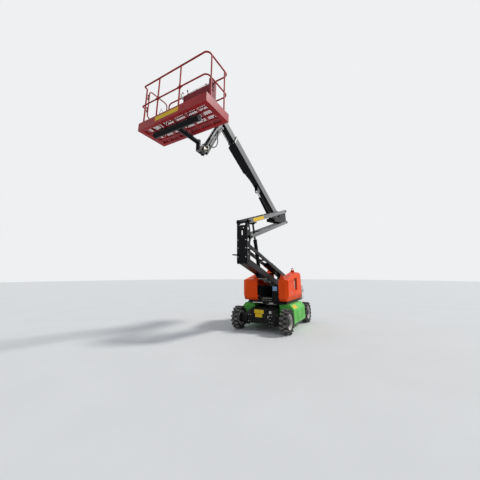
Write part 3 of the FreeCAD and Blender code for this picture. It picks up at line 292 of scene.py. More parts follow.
PAINTS = [
    # name, colour, deeper colour, roughness, coat, coat index, mirror, dust, wear
    ("orange_shell", (0.84, 0.078, 0.007), (0.72, 0.056, 0.005), 0.40, 0.06, 1.5, 0.08, 0.06, 0.0),
    ("green_paint", (0.115, 0.52, 0.078), (0.075, 0.40, 0.055), 0.42, 0.15, 1.5, 0.15, 0.22, 0.5),
    ("red_paint", (0.34, 0.011, 0.015), (0.25, 0.007, 0.010), 0.36, 0.40, 2.1, 0.10, 0.04, 0.4),
    ("black_steel", (0.0065, 0.0065, 0.0075), (0.004, 0.004, 0.005), 0.36, 0.14, 2.1, 0.10, 0.06, 0.6),
    ("black_gloss", (0.0065, 0.0065, 0.0075), (0.004, 0.004, 0.005), 0.30, 1.00, 3.4, 0.12, 0.06, 0.6),
    ("weight_paint", (0.60, 0.62, 0.62), (0.50, 0.52, 0.52), 0.42, 0.15, 1.5, 0.40, 0.35, 0.4),
]


def paint(name, colour, deeper, roughness, coat, index, mirror, dust, wear):
    finish = Finish(name, Coat_Roughness=0.34, Coat_IOR=index, Specular_IOR_Level=mirror)
    rounded = finish.round_edges(0.004)
    drift = finish.noise(2.2, 4.0).ramp(0.35, 0.70)
    cloud = finish.noise(9.0, 6.0)
    settled = (finish.upward() * 0.7 + cloud * 0.6).ramp(0.55, 1.25)
    height = finish.part(finish.place, "Z")
    low = (0.9 - height).ramp(0.0, 0.9) * cloud.ramp(0.40, 0.70)
    pale_share = settled.most(low) * dust
    speck = finish.noise(55.0, 5.0)
    worn = (finish.edge_mask(rounded) * speck.ramp(0.48, 0.62)) * wear
    scratch = finish.noise(40.0, 2.0, stretch=(1.0, 14.0, 14.0)).ramp(0.66, 0.72) * 0.18
    base = finish.mix(drift, colour, deeper)
    base = finish.mix(worn, base, BARE_STEEL)
    finish.put("Base Color", finish.mix(pale_share, base, DUST))
    finish.put("Roughness", (scratch + pale_share * 0.6 + roughness).least(1.0))
    grazing = finish.node("ShaderNodeLayerWeight", {}, {"Blend": 0.5}, "Facing").ramp(0.32, 0.74)
    finish.put("Coat Weight", (1 - pale_share) * grazing * coat)
    finish.bump(finish.noise(160.0, 2.0), 0.06, 0.002, rounded)
    return finish


finishes = {row[0]: paint(*row) for row in PAINTS}
print("paints", sorted(finishes))

# %% [markdown]
# Tyres are matt rubber, black down between the lugs as painted shade, and paler on their tops,
# partly with dust and partly as painted highlight. The rims are pale at the edge, with painted
# shade darkening them round the hub. Rods are hard chrome, and pins and fittings are zinc-plated
# or machined steel.

# %% Rubber, metal and plastic


def rubber(name, colour, dust):
    finish = Finish(name, Specular_IOR_Level=0.3)
    cloud = finish.noise(14.0, 6.0)
    pale_share = (cloud.ramp(0.35, 0.75) * 0.7 + 0.2) * dust
    finish.put("Base Color", finish.mix(pale_share, colour, DUST))
    finish.put("Roughness", pale_share * 0.2 + 0.72)
    finish.bump(finish.noise(220.0, 4.0), 0.25, 0.002, finish.round_edges(0.004))
    return finish


front_axle, rear_axle = ((Vector(low) + Vector(high)) / 2
                         for low, high in (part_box("tyre_front_left"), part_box("tyre_rear_left")))
LUG_ROOT, LUG_TOP = front_axle.z - 0.022, front_axle.z - 0.006
# Radii where the painted shade round a wheel's hub is full, and where it ends.
RIM_HUB_SHADE_FULL, RIM_HUB_SHADE_END = 0.120, 0.175


def from_axle(finish):
    """Distance of a point from the middle line of the nearest wheel."""
    x, z = finish.part(finish.place, "X"), finish.part(finish.place, "Z")
    ahead, behind, up = x - front_axle.x, x - rear_axle.x, z - front_axle.z
    return ((ahead * ahead).least(behind * behind) + up * up) ** 0.5


def tread():
    """Tyre rubber: black down between the lugs as painted shade, paler on their tops, partly with dust and partly
    as painted highlight.
    """
    finish = Finish("tyre", Specular_IOR_Level=0.25)
    # Painted shade darkens the grooves between the lugs, and the lug tops are paler, partly with dust and partly
    # as painted highlight.
    lug_top_highlight_and_dust = from_axle(finish).ramp(LUG_ROOT, LUG_TOP)
    cloud = finish.noise(14.0, 6.0).ramp(0.32, 0.72)
    pale_share = (lug_top_highlight_and_dust * 0.55 + 0.10) * (cloud * 0.7 + 0.3)
    finish.put("Base Color", finish.mix(pale_share, (0.011, 0.011, 0.011), (0.34, 0.32, 0.29)))
    finish.put("Roughness", pale_share * 0.2 + 0.72)
    finish.bump(finish.noise(220.0, 4.0), 0.25, 0.002, finish.round_edges(0.004))
    return finish


def plain_metal(name, colour, roughness, dust=0.0):
    finish = Finish(name, Metallic=1.0)
    streak = finish.noise(60.0, 3.0, stretch=(1.0, 8.0, 1.0))
    cloud = finish.noise(12.0, 5.0).ramp(0.45, 0.75)
    darker = tuple(c * 0.8 for c in colour)
    finish.put("Base Color", finish.mix(cloud * dust, finish.mix(streak, colour, darker), DUST))
    finish.put("Roughness", streak * 0.12 + cloud * (dust * 0.5) + roughness)
    finish.put("Metallic", 1 - cloud * dust)
    finish.bump(streak, 0.05, 0.001, finish.round_edges(0.002))
    return finish


def wheel_disc():
    """A steel wheel, pale at the rolled edge and darkened round the hub as painted shade."""
    finish = Finish("rim")
    cloud = finish.noise(12.0, 5.0).ramp(0.35, 0.75)
    # Painted shade: the disc goes dark towards the hub, and a cloudy tone varies its pale part.
    clear_of_hub_shade = from_axle(finish).ramp(RIM_HUB_SHADE_FULL, RIM_HUB_SHADE_END)
    pale_share = (clear_of_hub_shade * 0.92 + 0.06) * (cloud * 0.3 + 0.7)
    finish.put("Base Color", finish.mix(pale_share, (0.028, 0.027, 0.026), (0.72, 0.69, 0.64)))
    finish.put("Roughness", pale_share * 0.3 + 0.42)
    finish.bump(finish.noise(90.0, 4.0), 0.15, 0.002, finish.round_edges(0.003))
    return finish


def moulded(name, colour, roughness, grain=0.25):
    finish = Finish(name, Specular_IOR_Level=0.15)
    cloud = finish.noise(7.0, 5.0)
    pale_share = (finish.upward() * 0.4 + cloud * 0.4).ramp(0.35, 0.9) * 0.3
    darker = tuple(c * 0.75 for c in colour)
    finish.put("Base Color", finish.mix(pale_share, finish.mix(cloud, colour, darker), DUST))
    finish.put("Roughness", cloud * 0.15 + pale_share * 0.4 + roughness)
    finish.bump(finish.noise(380.0, 2.0), grain, 0.001, finish.round_edges(0.003))
    return finish


for made in (
        tread(),
        wheel_disc(),
        rubber("hose", (0.012, 0.012, 0.012), 0.15),
        rubber("grey_sleeve", (0.20, 0.21, 0.21), 0.20),
        plain_metal("rod_chrome", (0.78, 0.79, 0.80), 0.10),
        # Chrome darkened nearly to black: painted shade and dark reflections, for the arm cylinder's rod.
        plain_metal("chrome_rod_painted_shade", (0.045, 0.045, 0.05), 0.22),
        plain_metal("machined_steel", (0.45, 0.44, 0.43), 0.34, dust=0.2),
        plain_metal("zinc", (0.60, 0.58, 0.52), 0.30, dust=0.15),
        plain_metal("floor_mesh", (0.50, 0.13, 0.15), 0.42, dust=0.1),
        moulded("battery_case", (0.030, 0.032, 0.036), 0.45),
        moulded("console_case", (0.20, 0.012, 0.020), 0.42),
        moulded("yellow_plate", (0.76, 0.50, 0.022), 0.35, grain=0.05),
        moulded("blue_plate", (0.34, 0.50, 0.78), 0.35, grain=0.05),
        moulded("white_plate", (0.78, 0.78, 0.76), 0.35, grain=0.05)):
    finishes[made.name] = made
print("finishes", len(finishes))

# %% [markdown]
# Each imported piece takes the finish that its slot in the record names. The arms above the riser
# get the glossier black instead, and the arm cylinder's chrome rod a dark metal, as painted shade
# and painted dark reflections.

# %% Dress the imported nodes
slot_of = {part["node"]: part["material_slot"] for part in frame["record"]["subparts"]}
GLOSSY_NODES = ["upper_arm", "upper_link", "boom", "inner_boom", "boom_head", "jib_arm", "jib_link",
                "jib_head"]
# The arm cylinder's rod gets the darkened chrome, as painted shade.
look_of = dict(slot_of, arm_rod="chrome_rod_painted_shade")
look_of.update((name, "black_gloss") for name in GLOSSY_NODES)
for name, node in nodes.items():
    for holder in node.material_slots:
        holder.material = finishes[look_of[name]].material

# %% [markdown]
# The small pieces are real meshes, joined by kind. One helper collects blocks, rods, bolts and
# bent tubes into a single mesh. It works in the axes of whatever carries the piece: for a slanted
# arm that is a matrix with X along the arm, Y to the left and Z square to both.

# %% A helper for small pieces
SHARP_ANGLE = math.radians(35)


class Maker:
    """Collects simple solids in the axes of one matrix, and makes one mesh piece of them."""

    def __init__(self, axes):
        self.axes = axes
        self.shape = bmesh.new()

    def block(self, low, high, turn=None):
        low, high = Vector(low), Vector(high)
        middle = Matrix.Translation((low + high) / 2)
        size = Matrix.Diagonal((*(high - low), 1.0))
        turn = turn or Matrix.Identity(4)
        bmesh.ops.create_cube(self.shape, size=1.0, matrix=self.axes @ middle @ turn @ size)

    def rod(self, start, end, radius, sides=16, end_radius=None):
        start, end = Vector(start), Vector(end)
        line = end - start
        place = Matrix.Translation((start + end) / 2) @ line.to_track_quat("Z", "Y").to_matrix().to_4x4()
        bmesh.ops.create_cone(self.shape, cap_ends=True, segments=sides, radius1=radius,
                              radius2=radius if end_radius is None else end_radius, depth=line.length,
                              matrix=self.axes @ place)

    def bolt(self, place, direction, radius):
        """A hexagon head on a washer."""
        place, direction = Vector(place), Vector(direction).normalized()
        self.rod(place, place + direction * radius * 0.35, radius * 1.35, 12)
        self.rod(place, place + direction * radius * 1.25, radius, 6)

    def ring(self, centre, axis, radius, tube, around=48, section=8):
        """A round bar bent to a full ring."""
        turn = Vector(axis).to_track_quat("Z", "Y").to_matrix()
        path = [Vector(centre) + turn @ Vector((radius * math.cos(a), radius * math.sin(a), 0))
                for a in (2 * math.pi * i / around for i in range(around))]
        self.tube(path, tube, section, closed=True)

    def tube(self, path, radius, section=8, closed=False):
        """A round tube through the points of a path."""
        path = [Vector(p) for p in path]
        count = len(path)
        side = None
        rings = []
        for i, point in enumerate(path):
            before = path[i - 1] if closed or i else point
            after = path[(i + 1) % count] if closed or i < count - 1 else point
            along = (after - before).normalized()
            if side is None:
                side = along.orthogonal().normalized()
            side = (side - along * side.dot(along)).normalized()
            other = along.cross(side)
            angles = [2 * math.pi * k / section for k in range(section)]
            spots = [point + (side * math.cos(a) + other * math.sin(a)) * radius for a in angles]
            rings.append([self.shape.verts.new(self.axes @ spot) for spot in spots])
        pairs = list(zip(rings, rings[1:])) + ([(rings[-1], rings[0])] if closed else [])
        for one, two in pairs:
            for k in range(section):
                self.shape.faces.new((one[k], one[(k + 1) % section], two[(k + 1) % section], two[k]))
        if not closed:
            self.shape.faces.new(list(reversed(rings[0])))
            self.shape.faces.new(rings[-1])

    def sheet(self, outline, depth):
        """A flat plate: an outline in order, made as thick as the depth vector."""
        low = [self.shape.verts.new(self.axes @ Vector(p)) for p in outline]
        high = [self.shape.verts.new(self.axes @ (Vector(p) + Vector(depth))) for p in outline]
        self.shape.faces.new(list(reversed(low)))
        self.shape.faces.new(high)
        for i in range(len(low)):
            j = (i + 1) % len(low)
            self.shape.faces.new((low[i], low[j], high[j], high[i]))

    def done(self, name, body, slot_name, bevel=0.0, smooth=True):
        bmesh.ops.recalc_face_normals(self.shape, faces=self.shape.faces)
        mesh = bpy.data.meshes.new(name)
        self.shape.to_mesh(mesh)
        self.shape.free()
        mesh.materials.append(finishes[slot_name].material)
        piece = bpy.data.objects.new(name, mesh)
        scene.collection.objects.link(piece)
        if bevel:
            rounding = piece.modifiers.new("rounding", "BEVEL")
            rounding.width = bevel
            rounding.segments = 2
            rounding.limit_method = "ANGLE"
        if smooth:
            mesh.shade_smooth()
            mesh.set_sharp_from_angle(angle=SHARP_ANGLE)
        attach(piece, body)
        print(name, len(mesh.polygons), "faces on", body)
        return piece


# %% [markdown]
# Every arm has its own axes, worked out from the joints: the origin is at its first pin, and X
# runs to its last one. The machine's own axes start on the floor under the slewing ring.

# %% Axes of the arms
joint_of = {joint["name"]: joint for joint in frame["joints"]}


def pin(name):
    return Vector(joint_of[name]["pos_m"])


def arm_axes(start, end):
    along = (end - start).normalized()
    left = Vector((0, 1, 0)) if along.x > 0 else Vector((0, -1, 0))
    up = along.cross(left)
    return Matrix.Translation(start) @ Matrix((along, left, up)).transposed().to_4x4()


machine = Matrix.Translation((pin("slew").x, 0, 0))
lower_axes = arm_axes(pin("arms_lift"), pin("riser_swing"))
upper_axes = arm_axes(pin("upper_arm_swing"), pin("knee_swing"))
riser = Matrix.Translation(pin("riser_swing"))
boom_axes = arm_axes(pin("boom_lift"), pin("boom_lift") + Vector(joint_of["boom_extend"]["axis"]))
jib_axes = arm_axes(pin("jib_lift"), pin("jib_head_level"))
deck_low, deck_high = (Vector(v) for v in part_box("platform_frame"))
platform = Matrix.Translation(((deck_low.x + deck_high.x) / 2, 0, deck_low.z))
HALF_LENGTH = (deck_high.x - deck_low.x) / 2
HALF_WIDTH = (deck_high.y - deck_low.y) / 2
print("half the platform", round(HALF_LENGTH, 3), round(HALF_WIDTH, 3))

# %% [markdown]
# The hose beside the jib is the one that hangs free. It leaves a clamp on the upper jib arm, sags
# below it and comes back to a second clamp, so it is a smooth curve through the same points as its
# plain solid.

# %% The free hose at the jib
HOSE_RADIUS = 0.012
HOSE_SIDE = 0.120
HOSE_ROUTE = [(0.435, -0.008), (0.560, -0.008), (0.668, -0.125), (0.800, -0.166), (0.925, -0.150),
              (1.020, -0.092), (1.062, -0.014)]
hose_points = [jib_axes @ Vector((s, HOSE_SIDE, n)) for s, n in HOSE_ROUTE]
curve = bpy.data.curves.new("jib_hose_loop", "CURVE")
curve.dimensions = "3D"
curve.bevel_depth = HOSE_RADIUS
curve.bevel_resolution = 4
curve.use_fill_caps = True
line = curve.splines.new("NURBS")
line.points.add(len(hose_points) - 1)
for spot, point in zip(line.points, hose_points):
    spot.co = (*point, 1.0)
line.order_u = 3
line.use_endpoint_u = True
line.resolution_u = 12
curve.materials.append(finishes["hose"].material)
jib_loop = bpy.data.objects.new("jib_hose_loop", curve)
scene.collection.objects.link(jib_loop)
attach(jib_loop, "jib")
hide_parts("jib_hose")

# %% [markdown]
# A pin that two arms turn on is held by a keeper plate and two bolts, on both sides. They are
# small, but they tell the eye where the machine moves, so the tower's and the jib's pivots get them.

# %% Pin keepers
KEEPERS = [
    # piece, body, joint at the pin, outer face, plate length, plate turned up by degrees
    ("keepers_tower", "turntable", "arms_lift", 0.177, 0.110, 0),
    ("keepers_tower_link", "turntable", "lower_link_swing", 0.177, 0.110, 0),
    ("keepers_jib_foot", "boom_head", "jib_lift", 0.098, 0.062, 60),
    ("keepers_jib_link", "boom_head", "jib_link_swing", 0.098, 0.062, 60),
    ("keepers_jib_head", "jib_head", "jib_head_level", 0.098, 0.062, 60),
]
KEEPER_THICKNESS, KEEPER_HALF_HEIGHT = 0.006, 0.014


def keepers(name, body, joint, face, length, degrees):
    axes = Matrix.Translation(pin(joint)) @ Matrix.Rotation(math.radians(-degrees), 4, "Y")
    maker = Maker(axes)
    half = length / 2
    for side in (-1, 1):
        y0, y1 = sorted((side * face, side * (face + KEEPER_THICKNESS)))
        maker.block((-half, y0, -KEEPER_HALF_HEIGHT), (half, y1, KEEPER_HALF_HEIGHT))
        maker.rod((0, side * (face - 0.004), 0), (0, side * (face + 0.010), 0), 0.018, 24)
        for x in (-half + 0.016, half - 0.016):
            maker.bolt((x, side * (face + KEEPER_THICKNESS), 0), (0, side, 0), 0.008)
    maker.done(name, body, "zinc", bevel=0.001)


for row in KEEPERS:
    keepers(*row)

# %% [markdown]
# A wheel gets what its plain solid leaves out: a ring of nuts, a grease cap, the rolled lip of
# the rim, a valve and two raised rings on each side of the tyre.

# %% Wheel details
WHEELS = ["front_left", "front_right", "rear_left", "rear_right"]
WHEEL_NUTS = 8
NUT_CIRCLE = 0.060
BOSS_FACE = 0.080
RIM_EDGE, RIM_LIP = 0.086, 0.1955
TYRE_SIDE, TYRE_RINGS = 0.1075, (0.2375, 0.256)


def wheel_metal(name):
    centre = pin("spin_" + name)
    side = 1 if centre.y > 0 else -1
    maker = Maker(Matrix.Translation(centre) @ Matrix.Diagonal((1, side, 1, 1)))
    for i in range(WHEEL_NUTS):
        angle = 2 * math.pi * (i + 0.5) / WHEEL_NUTS
        x, z = NUT_CIRCLE * math.cos(angle), NUT_CIRCLE * math.sin(angle)
        maker.bolt((x, BOSS_FACE, z), (0, 1, 0), 0.009)
        maker.rod((x, BOSS_FACE + 0.010, z), (x, BOSS_FACE + 0.019, z), 0.005, 10)
    maker.rod((0, BOSS_FACE, 0), (0, BOSS_FACE + 0.016, 0), 0.037, 32, 0.031)
    for y in (-RIM_EDGE, RIM_EDGE):
        maker.ring((0, y, 0), (0, 1, 0), RIM_LIP, 0.0055, 72)
    maker.rod((0.155, 0.045, 0.03), (0.158, 0.078, 0.03), 0.0045, 10)
    maker.done("wheel_metal_" + name, "wheel_" + name, "rim")


def tyre_rings(name):
    centre = pin("spin_" + name)
    maker = Maker(Matrix.Translation(centre))
    for y in (-TYRE_SIDE, TYRE_SIDE):
        for radius in TYRE_RINGS:
            maker.ring((0, y, 0), (0, 1, 0), radius, 0.0032, 64, 6)
    maker.done("tyre_rings_" + name, "wheel_" + name, "tyre")


for name in WHEELS:
    wheel_metal(name)
    tyre_rings(name)

# %% [markdown]
# The front of the chassis carries a bent cover, two blank yellow plates, the charging socket and
# a pair of fittings. The side boxes have bolts, pressed ribs, a hatch and another blank plate.

# %% Chassis details
FRAME_FRONT = 1.110
COVER_TOP = 0.612
SIDE_BOX_FACE = 0.862
SIDE_BOX_ENDS = (-0.548, 0.598)
SHOULDER_Z = (0.585, 0.715)
SHOULDER_Y = (0.862, 0.752)
COVER_PROFILE = [
    # ahead of the frame's front, height
    (-0.120, 0.520), (-0.120, COVER_TOP - 0.012), (-0.100, COVER_TOP),
    (-0.020, COVER_TOP), (-0.002, COVER_TOP - 0.018), (-0.002, 0.490),
]

maker = Maker(machine)
maker.sheet([(FRAME_FRONT + ahead, -0.30, z) for ahead, z in COVER_PROFILE], (0, 0.52, 0))
maker.done("front_cover", "chassis", "black_steel", bevel=0.003)

maker = Maker(machine)
maker.block((FRAME_FRONT - 0.004, -0.183, 0.492), (FRAME_FRONT + 0.001, 0.122, 0.598))
maker.block((FRAME_FRONT - 0.001, -0.150, 0.392), (FRAME_FRONT + 0.003, 0.072, 0.486))
maker.done("front_plates", "chassis", "yellow_plate", bevel=0.002)

maker = Maker(machine)
for y, z in ((-0.17, 0.505), (0.11, 0.505), (-0.17, 0.585), (0.11, 0.585), (-0.14, 0.402), (0.062, 0.402)):
    maker.rod((FRAME_FRONT + 0.001, y, z), (FRAME_FRONT + 0.005, y, z), 0.006, 12)
for y in (-0.37, -0.30, 0.30, 0.37):
    for z in (0.27, 0.45):
        maker.bolt((FRAME_FRONT, y, z), (1, 0, 0), 0.010)
maker.rod((FRAME_FRONT - 0.002, 0.326, 0.545), (FRAME_FRONT + 0.024, 0.326, 0.545), 0.026, 24)
maker.block((FRAME_FRONT - 0.01, 0.292, 0.508), (FRAME_FRONT + 0.004, 0.360, 0.580))
maker.rod((FRAME_FRONT, 0.262, 0.436), (FRAME_FRONT + 0.030, 0.262, 0.436), 0.015, 16)
maker.rod((FRAME_FRONT + 0.012, 0.262, 0.436), (FRAME_FRONT + 0.012, 0.262, 0.376), 0.009, 12)
maker.rod((FRAME_FRONT, 0.325, 0.365), (FRAME_FRONT + 0.022, 0.325, 0.365), 0.012, 16)
maker.done("front_fittings", "chassis", "machined_steel", bevel=0.001)


def side_box_trim(name, side):
    """Bolts, ribs, a hatch with its latch, and a blank plate on the sloped shoulder."""
    axes = machine @ Matrix.Diagonal((1, side, 1, 1))
    rear, front = SIDE_BOX_ENDS
    metal = Maker(axes)
    for i in range(7):
        x = rear + 0.06 + i * (front - rear - 0.12) / 6
        metal.bolt((x, SIDE_BOX_FACE, 0.232), (0, 1, 0), 0.009)
    for x in (rear + 0.05, front - 0.05):
        for z in (0.33, 0.52):
            metal.bolt((x, SIDE_BOX_FACE, z), (0, 1, 0), 0.008)
    metal.block((-0.015, SIDE_BOX_FACE, 0.41), (0.035, SIDE_BOX_FACE + 0.012, 0.45))
    metal.rod((0.01, SIDE_BOX_FACE + 0.012, 0.43), (0.01, SIDE_BOX_FACE + 0.017, 0.43), 0.010, 16)
    metal.done("side_box_bolts_" + name, "chassis", "zinc", bevel=0.001)
    paint_work = Maker(axes)
    inside, outside = SIDE_BOX_FACE - 0.001, SIDE_BOX_FACE + 0.003
    paint_work.block((-0.150, inside, 0.300), (0.160, outside, 0.540))
    for x, turn in ((0.37, 28), (0.37, -28), (-0.40, 28), (-0.40, -28)):
        rib = Matrix.Rotation(math.radians(turn), 4, "Y")
        paint_work.block((x - 0.008, inside, 0.30), (x + 0.008, outside, 0.52), rib)
    paint_work.done("side_box_ribs_" + name, "chassis", "green_paint", bevel=0.0015)
    plate = Maker(axes)
    slope = Vector((0, SHOULDER_Y[1] - SHOULDER_Y[0], SHOULDER_Z[1] - SHOULDER_Z[0])).normalized()
    out = Vector((0, slope.z, -slope.y))
    base = Vector((0, SHOULDER_Y[0], SHOULDER_Z[0])) + out * 0.0005
    corners = ((0.20, 0.02), (0.50, 0.02), (0.50, 0.14), (0.20, 0.14))
    plate.sheet([base + Vector((x, 0, 0)) + slope * t for x, t in corners], out * 0.002)
    plate.done("side_box_plate_" + name, "chassis", "yellow_plate")


side_box_trim("left", 1)
side_box_trim("right", -1)

# %% [markdown]
# Between the hoods the machine shows its inside: hoses clipped under the lower arm, a row of
# fittings and short hoses on the low valve box, a pale blue plate and four studs on the high one,
# and bright strips on the deck's front edge.

# %% Hoses and fittings between the hoods
ARM_HOSES = [
    # left of the middle, below the arm's line, radius
    (-0.085, 0.102, 0.011), (-0.052, 0.106, 0.013), (-0.016, 0.104, 0.011), (0.018, 0.107, 0.013),
    (0.052, 0.103, 0.010), (0.084, 0.101, 0.009),
]
maker = Maker(lower_axes)
for y, drop, radius in ARM_HOSES:
    path = [(0.28, y, -drop - 0.10), (0.33, y, -drop - 0.03), (0.42, y, -drop), (0.80, y, -drop - 0.004),
            (1.20, y, -drop), (1.62, y, -drop - 0.003), (1.84, y, -drop)]
    maker.tube(path, radius, 10)
maker.done("lower_arm_hoses", "lower_arm", "grey_sleeve")

maker = Maker(lower_axes)
for s in (0.45, 0.95, 1.45, 1.80):
    maker.block((s, -0.108, -0.124), (s + 0.030, 0.106, -0.088))
    for y in (-0.102, 0.0, 0.100):
        maker.bolt((s + 0.015, y, -0.124), (0, 0, -1), 0.006)
maker.done("lower_arm_clamps", "lower_arm", "zinc", bevel=0.001)

VALVE_FRONT = Vector(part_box("valve_boxes")[1]).x - pin("slew").x
BOX_FRONT = VALVE_FRONT - 0.040
DECK_FRONT = 0.702
maker = Maker(machine)
for z in (0.875, 0.815):
    for y in (-0.140, -0.090, -0.040, 0.010, 0.060, 0.110, 0.160):
        maker.rod((VALVE_FRONT - 0.002, y, z), (VALVE_FRONT + 0.016, y, z), 0.013, 6)
        maker.rod((VALVE_FRONT + 0.016, y, z), (VALVE_FRONT + 0.030, y, z), 0.009, 12)
maker.done("valve_fittings", "turntable", "zinc", bevel=0.001)

maker = Maker(machine)
for y, sag in ((-0.140, 0.030), (-0.040, 0.022), (0.060, 0.034), (0.160, 0.026)):
    route = [(0.028, 0, 0.815), (0.050, 0, 0.811), (0.062, 0.012, 0.795 - sag / 3), (0.064, 0.030, 0.777),
             (0.062, 0.060, 0.775), (0.040, 0.090, 0.775), (-0.004, 0.100, 0.776)]
    maker.tube([(VALVE_FRONT + ahead, y + left, z) for ahead, left, z in route], 0.008, 8)
maker.done("valve_hoses", "turntable", "hose")

maker = Maker(machine)
maker.block((BOX_FRONT - 0.002, 0.198, 1.095), (BOX_FRONT + 0.004, 0.345, 1.225))
maker.done("valve_plate", "turntable", "blue_plate", bevel=0.002)

maker = Maker(machine)
for y in (0.215, 0.385):
    for z in (1.245, 1.270):
        maker.rod((BOX_FRONT - 0.002, y, z), (BOX_FRONT + 0.006, y, z), 0.006, 12)
for right, left in ((-0.440, -0.090), (0.120, 0.260)):
    maker.block((DECK_FRONT - 0.0025, right, 0.735), (DECK_FRONT + 0.0025, left, 0.757))
maker.done("deck_edge_strips", "turntable", "zinc", bevel=0.001)

# %% [markdown]
# The hoods are closed by latches, and rows of slots let the warm air out on the roof's slope. The
# slots are black slabs, painted shade where the openings are. The left hood has a pan in its side,
# with a pale grab bar and more slots, and a small hook.

# %% Hood details
HOOD_SIDE = 0.760
ROOF_FRONT, ROOF_LOW = 0.715, 1.430
ROOF_REAR, ROOF_HIGH = -0.330, 1.660
ROOF_SLOPE = math.atan2(ROOF_HIGH - ROOF_LOW, ROOF_FRONT - ROOF_REAR)
VENTS, VENT_START, VENT_PITCH = 9, 0.49, 0.052
SLOTS, SLOT_START, SLOT_PITCH = 7, -0.165, 0.026


def roof_height(x):
    """Height of a hood's sloping roof at a distance ahead of the slewing axis."""
    return ROOF_LOW + (ROOF_FRONT - x) * math.tan(ROOF_SLOPE)


def hood_trim(name, side, inner):
    """Vents on the roof as black slabs of painted shade, and latches on the side, where inner is the hood's edge
    by the arms.
    """
    axes = machine @ Matrix.Diagonal((1, side, 1, 1))
    # The roof's vent slots are black slabs: painted shade where the openings are.
    vent_shade = Maker(axes)
    for i in range(VENTS):
        x = VENT_START - i * VENT_PITCH
        z = roof_height(x)
        tilt = Matrix.Rotation(ROOF_SLOPE, 4, "Y")
        vent_shade.block((x - 0.010, inner + 0.10, z - 0.004), (x + 0.010, HOOD_SIDE - 0.13, z + 0.0012), tilt)
    vent_shade.done("hood_vent_shade_" + name, "hood_" + name, "hose", bevel=0.0008)
    metal = Maker(axes)
    for x in (-0.45, 0.42):
        metal.block((x - 0.020, HOOD_SIDE - 0.001, 1.005), (x + 0.020, HOOD_SIDE + 0.006, 1.075))
        metal.block((x - 0.012, HOOD_SIDE + 0.004, 1.020), (x + 0.012, HOOD_SIDE + 0.012, 1.062))
    metal.done("hood_latches_" + name, "hood_" + name, "zinc", bevel=0.002)


hood_trim("left", 1, 0.470)
hood_trim("right", -1, 0.240)

# Each route below lists points by how far they stand out of the hood, and their height.
PAN_Y = 0.716
GRAB_ROUTE = [(-0.006, 1.130), (0.026, 1.150), (0.026, 1.370), (-0.006, 1.390)]
HOOK_ROUTE = [(-0.004, 1.36), (0.022, 1.37), (0.026, 1.40), (0.012, 1.415)]
maker = Maker(machine)
maker.tube([(0.045, PAN_Y + out, z) for out, z in GRAB_ROUTE], 0.013, 12)
maker.done("hood_grab_bar", "hood_left", "white_plate")

# The side slots in the pan are black slabs: painted shade where the openings are.
maker = Maker(machine)
for i in range(SLOTS):
    x = SLOT_START + i * SLOT_PITCH
    maker.block((x, PAN_Y - 0.004, 1.135), (x + 0.012, PAN_Y + 0.004, 1.445))
maker.done("hood_side_slot_shade", "hood_left", "hose", bevel=0.001)

maker = Maker(machine)
maker.tube([(0.363, HOOD_SIDE + out, z) for out, z in HOOK_ROUTE], 0.006, 10)
maker.done("hood_hook", "hood_left", "hose")

# %% [markdown]
# The counterweight is cast and painted pale grey. Each side has a raised round rim and three
# heavy bolts.

# %% Counterweight details
maker = Maker(machine)
for side in (-1, 1):
    maker.ring((-0.820, side * 0.7555, 1.040), (0, 1, 0), 0.068, 0.008, 40)
    for x, z in ((-0.74, 0.82), (-0.90, 0.82), (-0.74, 1.16)):
        maker.bolt((x, side * 0.755, z), (0, side, 0), 0.012)
maker.done("weight_rims", "turntable", "weight_paint")

# %% [markdown]
# The riser's front plate is bolted, and hoses climb behind it under three clamps. The upper arm's
# left bar carries one long blank yellow plate on its side and two clamped hoses on its top.

# %% Riser and upper arm details
maker = Maker(riser)
for z in (0.10, 0.34, 0.56):
    for y in (-0.120, 0.120):
        maker.bolt((0.100, y, z), (1, 0, 0), 0.010)
for y in (-0.075, 0.075):
    maker.bolt((0.100, y, 0.965), (1, 0, 0), 0.008)
maker.done("riser_bolts", "riser", "zinc")

RISER_HOSES = [
    # left of the middle, ahead of the lower pin, radius
    (-0.105, 0.040, 0.012), (-0.078, 0.052, 0.010), (-0.052, 0.044, 0.012),
    (0.072, 0.050, 0.011), (0.100, 0.042, 0.012),
]
maker = Maker(riser)
for y, x, radius in RISER_HOSES:
    path = [(x + 0.012, y, 0.16), (x, y, 0.30), (x - 0.006, y, 0.55), (x, y, 0.80), (x + 0.010, y, 0.96)]
    maker.tube(path, radius, 10)
maker.done("riser_hoses", "riser", "hose")

maker = Maker(riser)
for z in (0.22, 0.58, 0.92):
    maker.block((0.020, -0.149, z), (0.030, 0.149, z + 0.035))
maker.done("riser_hose_clamps", "riser", "zinc", bevel=0.001)

UPPER_BAR_FACE = 0.206
maker = Maker(upper_axes)
maker.block((0.22, -UPPER_BAR_FACE - 0.0025, -0.050), (1.00, -UPPER_BAR_FACE + 0.001, 0.050))
maker.done("upper_arm_plate", "upper_arm", "yellow_plate", bevel=0.001)

maker = Maker(upper_axes)
for s in (0.24, 0.98):
    for n in (-0.036, 0.036):
        maker.rod((s, -UPPER_BAR_FACE - 0.002, n), (s, -UPPER_BAR_FACE - 0.006, n), 0.006, 12)
maker.done("upper_arm_rivets", "upper_arm", "zinc")

UPPER_HOSES = [-0.176, -0.196]
BAR_TOP = 0.062
maker = Maker(upper_axes)
for y in UPPER_HOSES:
    maker.tube([(0.30, y, BAR_TOP + 0.008), (0.80, y, BAR_TOP + 0.010), (1.30, y, BAR_TOP + 0.008),
                (1.80, y, BAR_TOP + 0.010), (2.40, y, BAR_TOP + 0.008)], 0.0085, 10)
maker.done("upper_arm_hoses", "upper_arm", "hose")

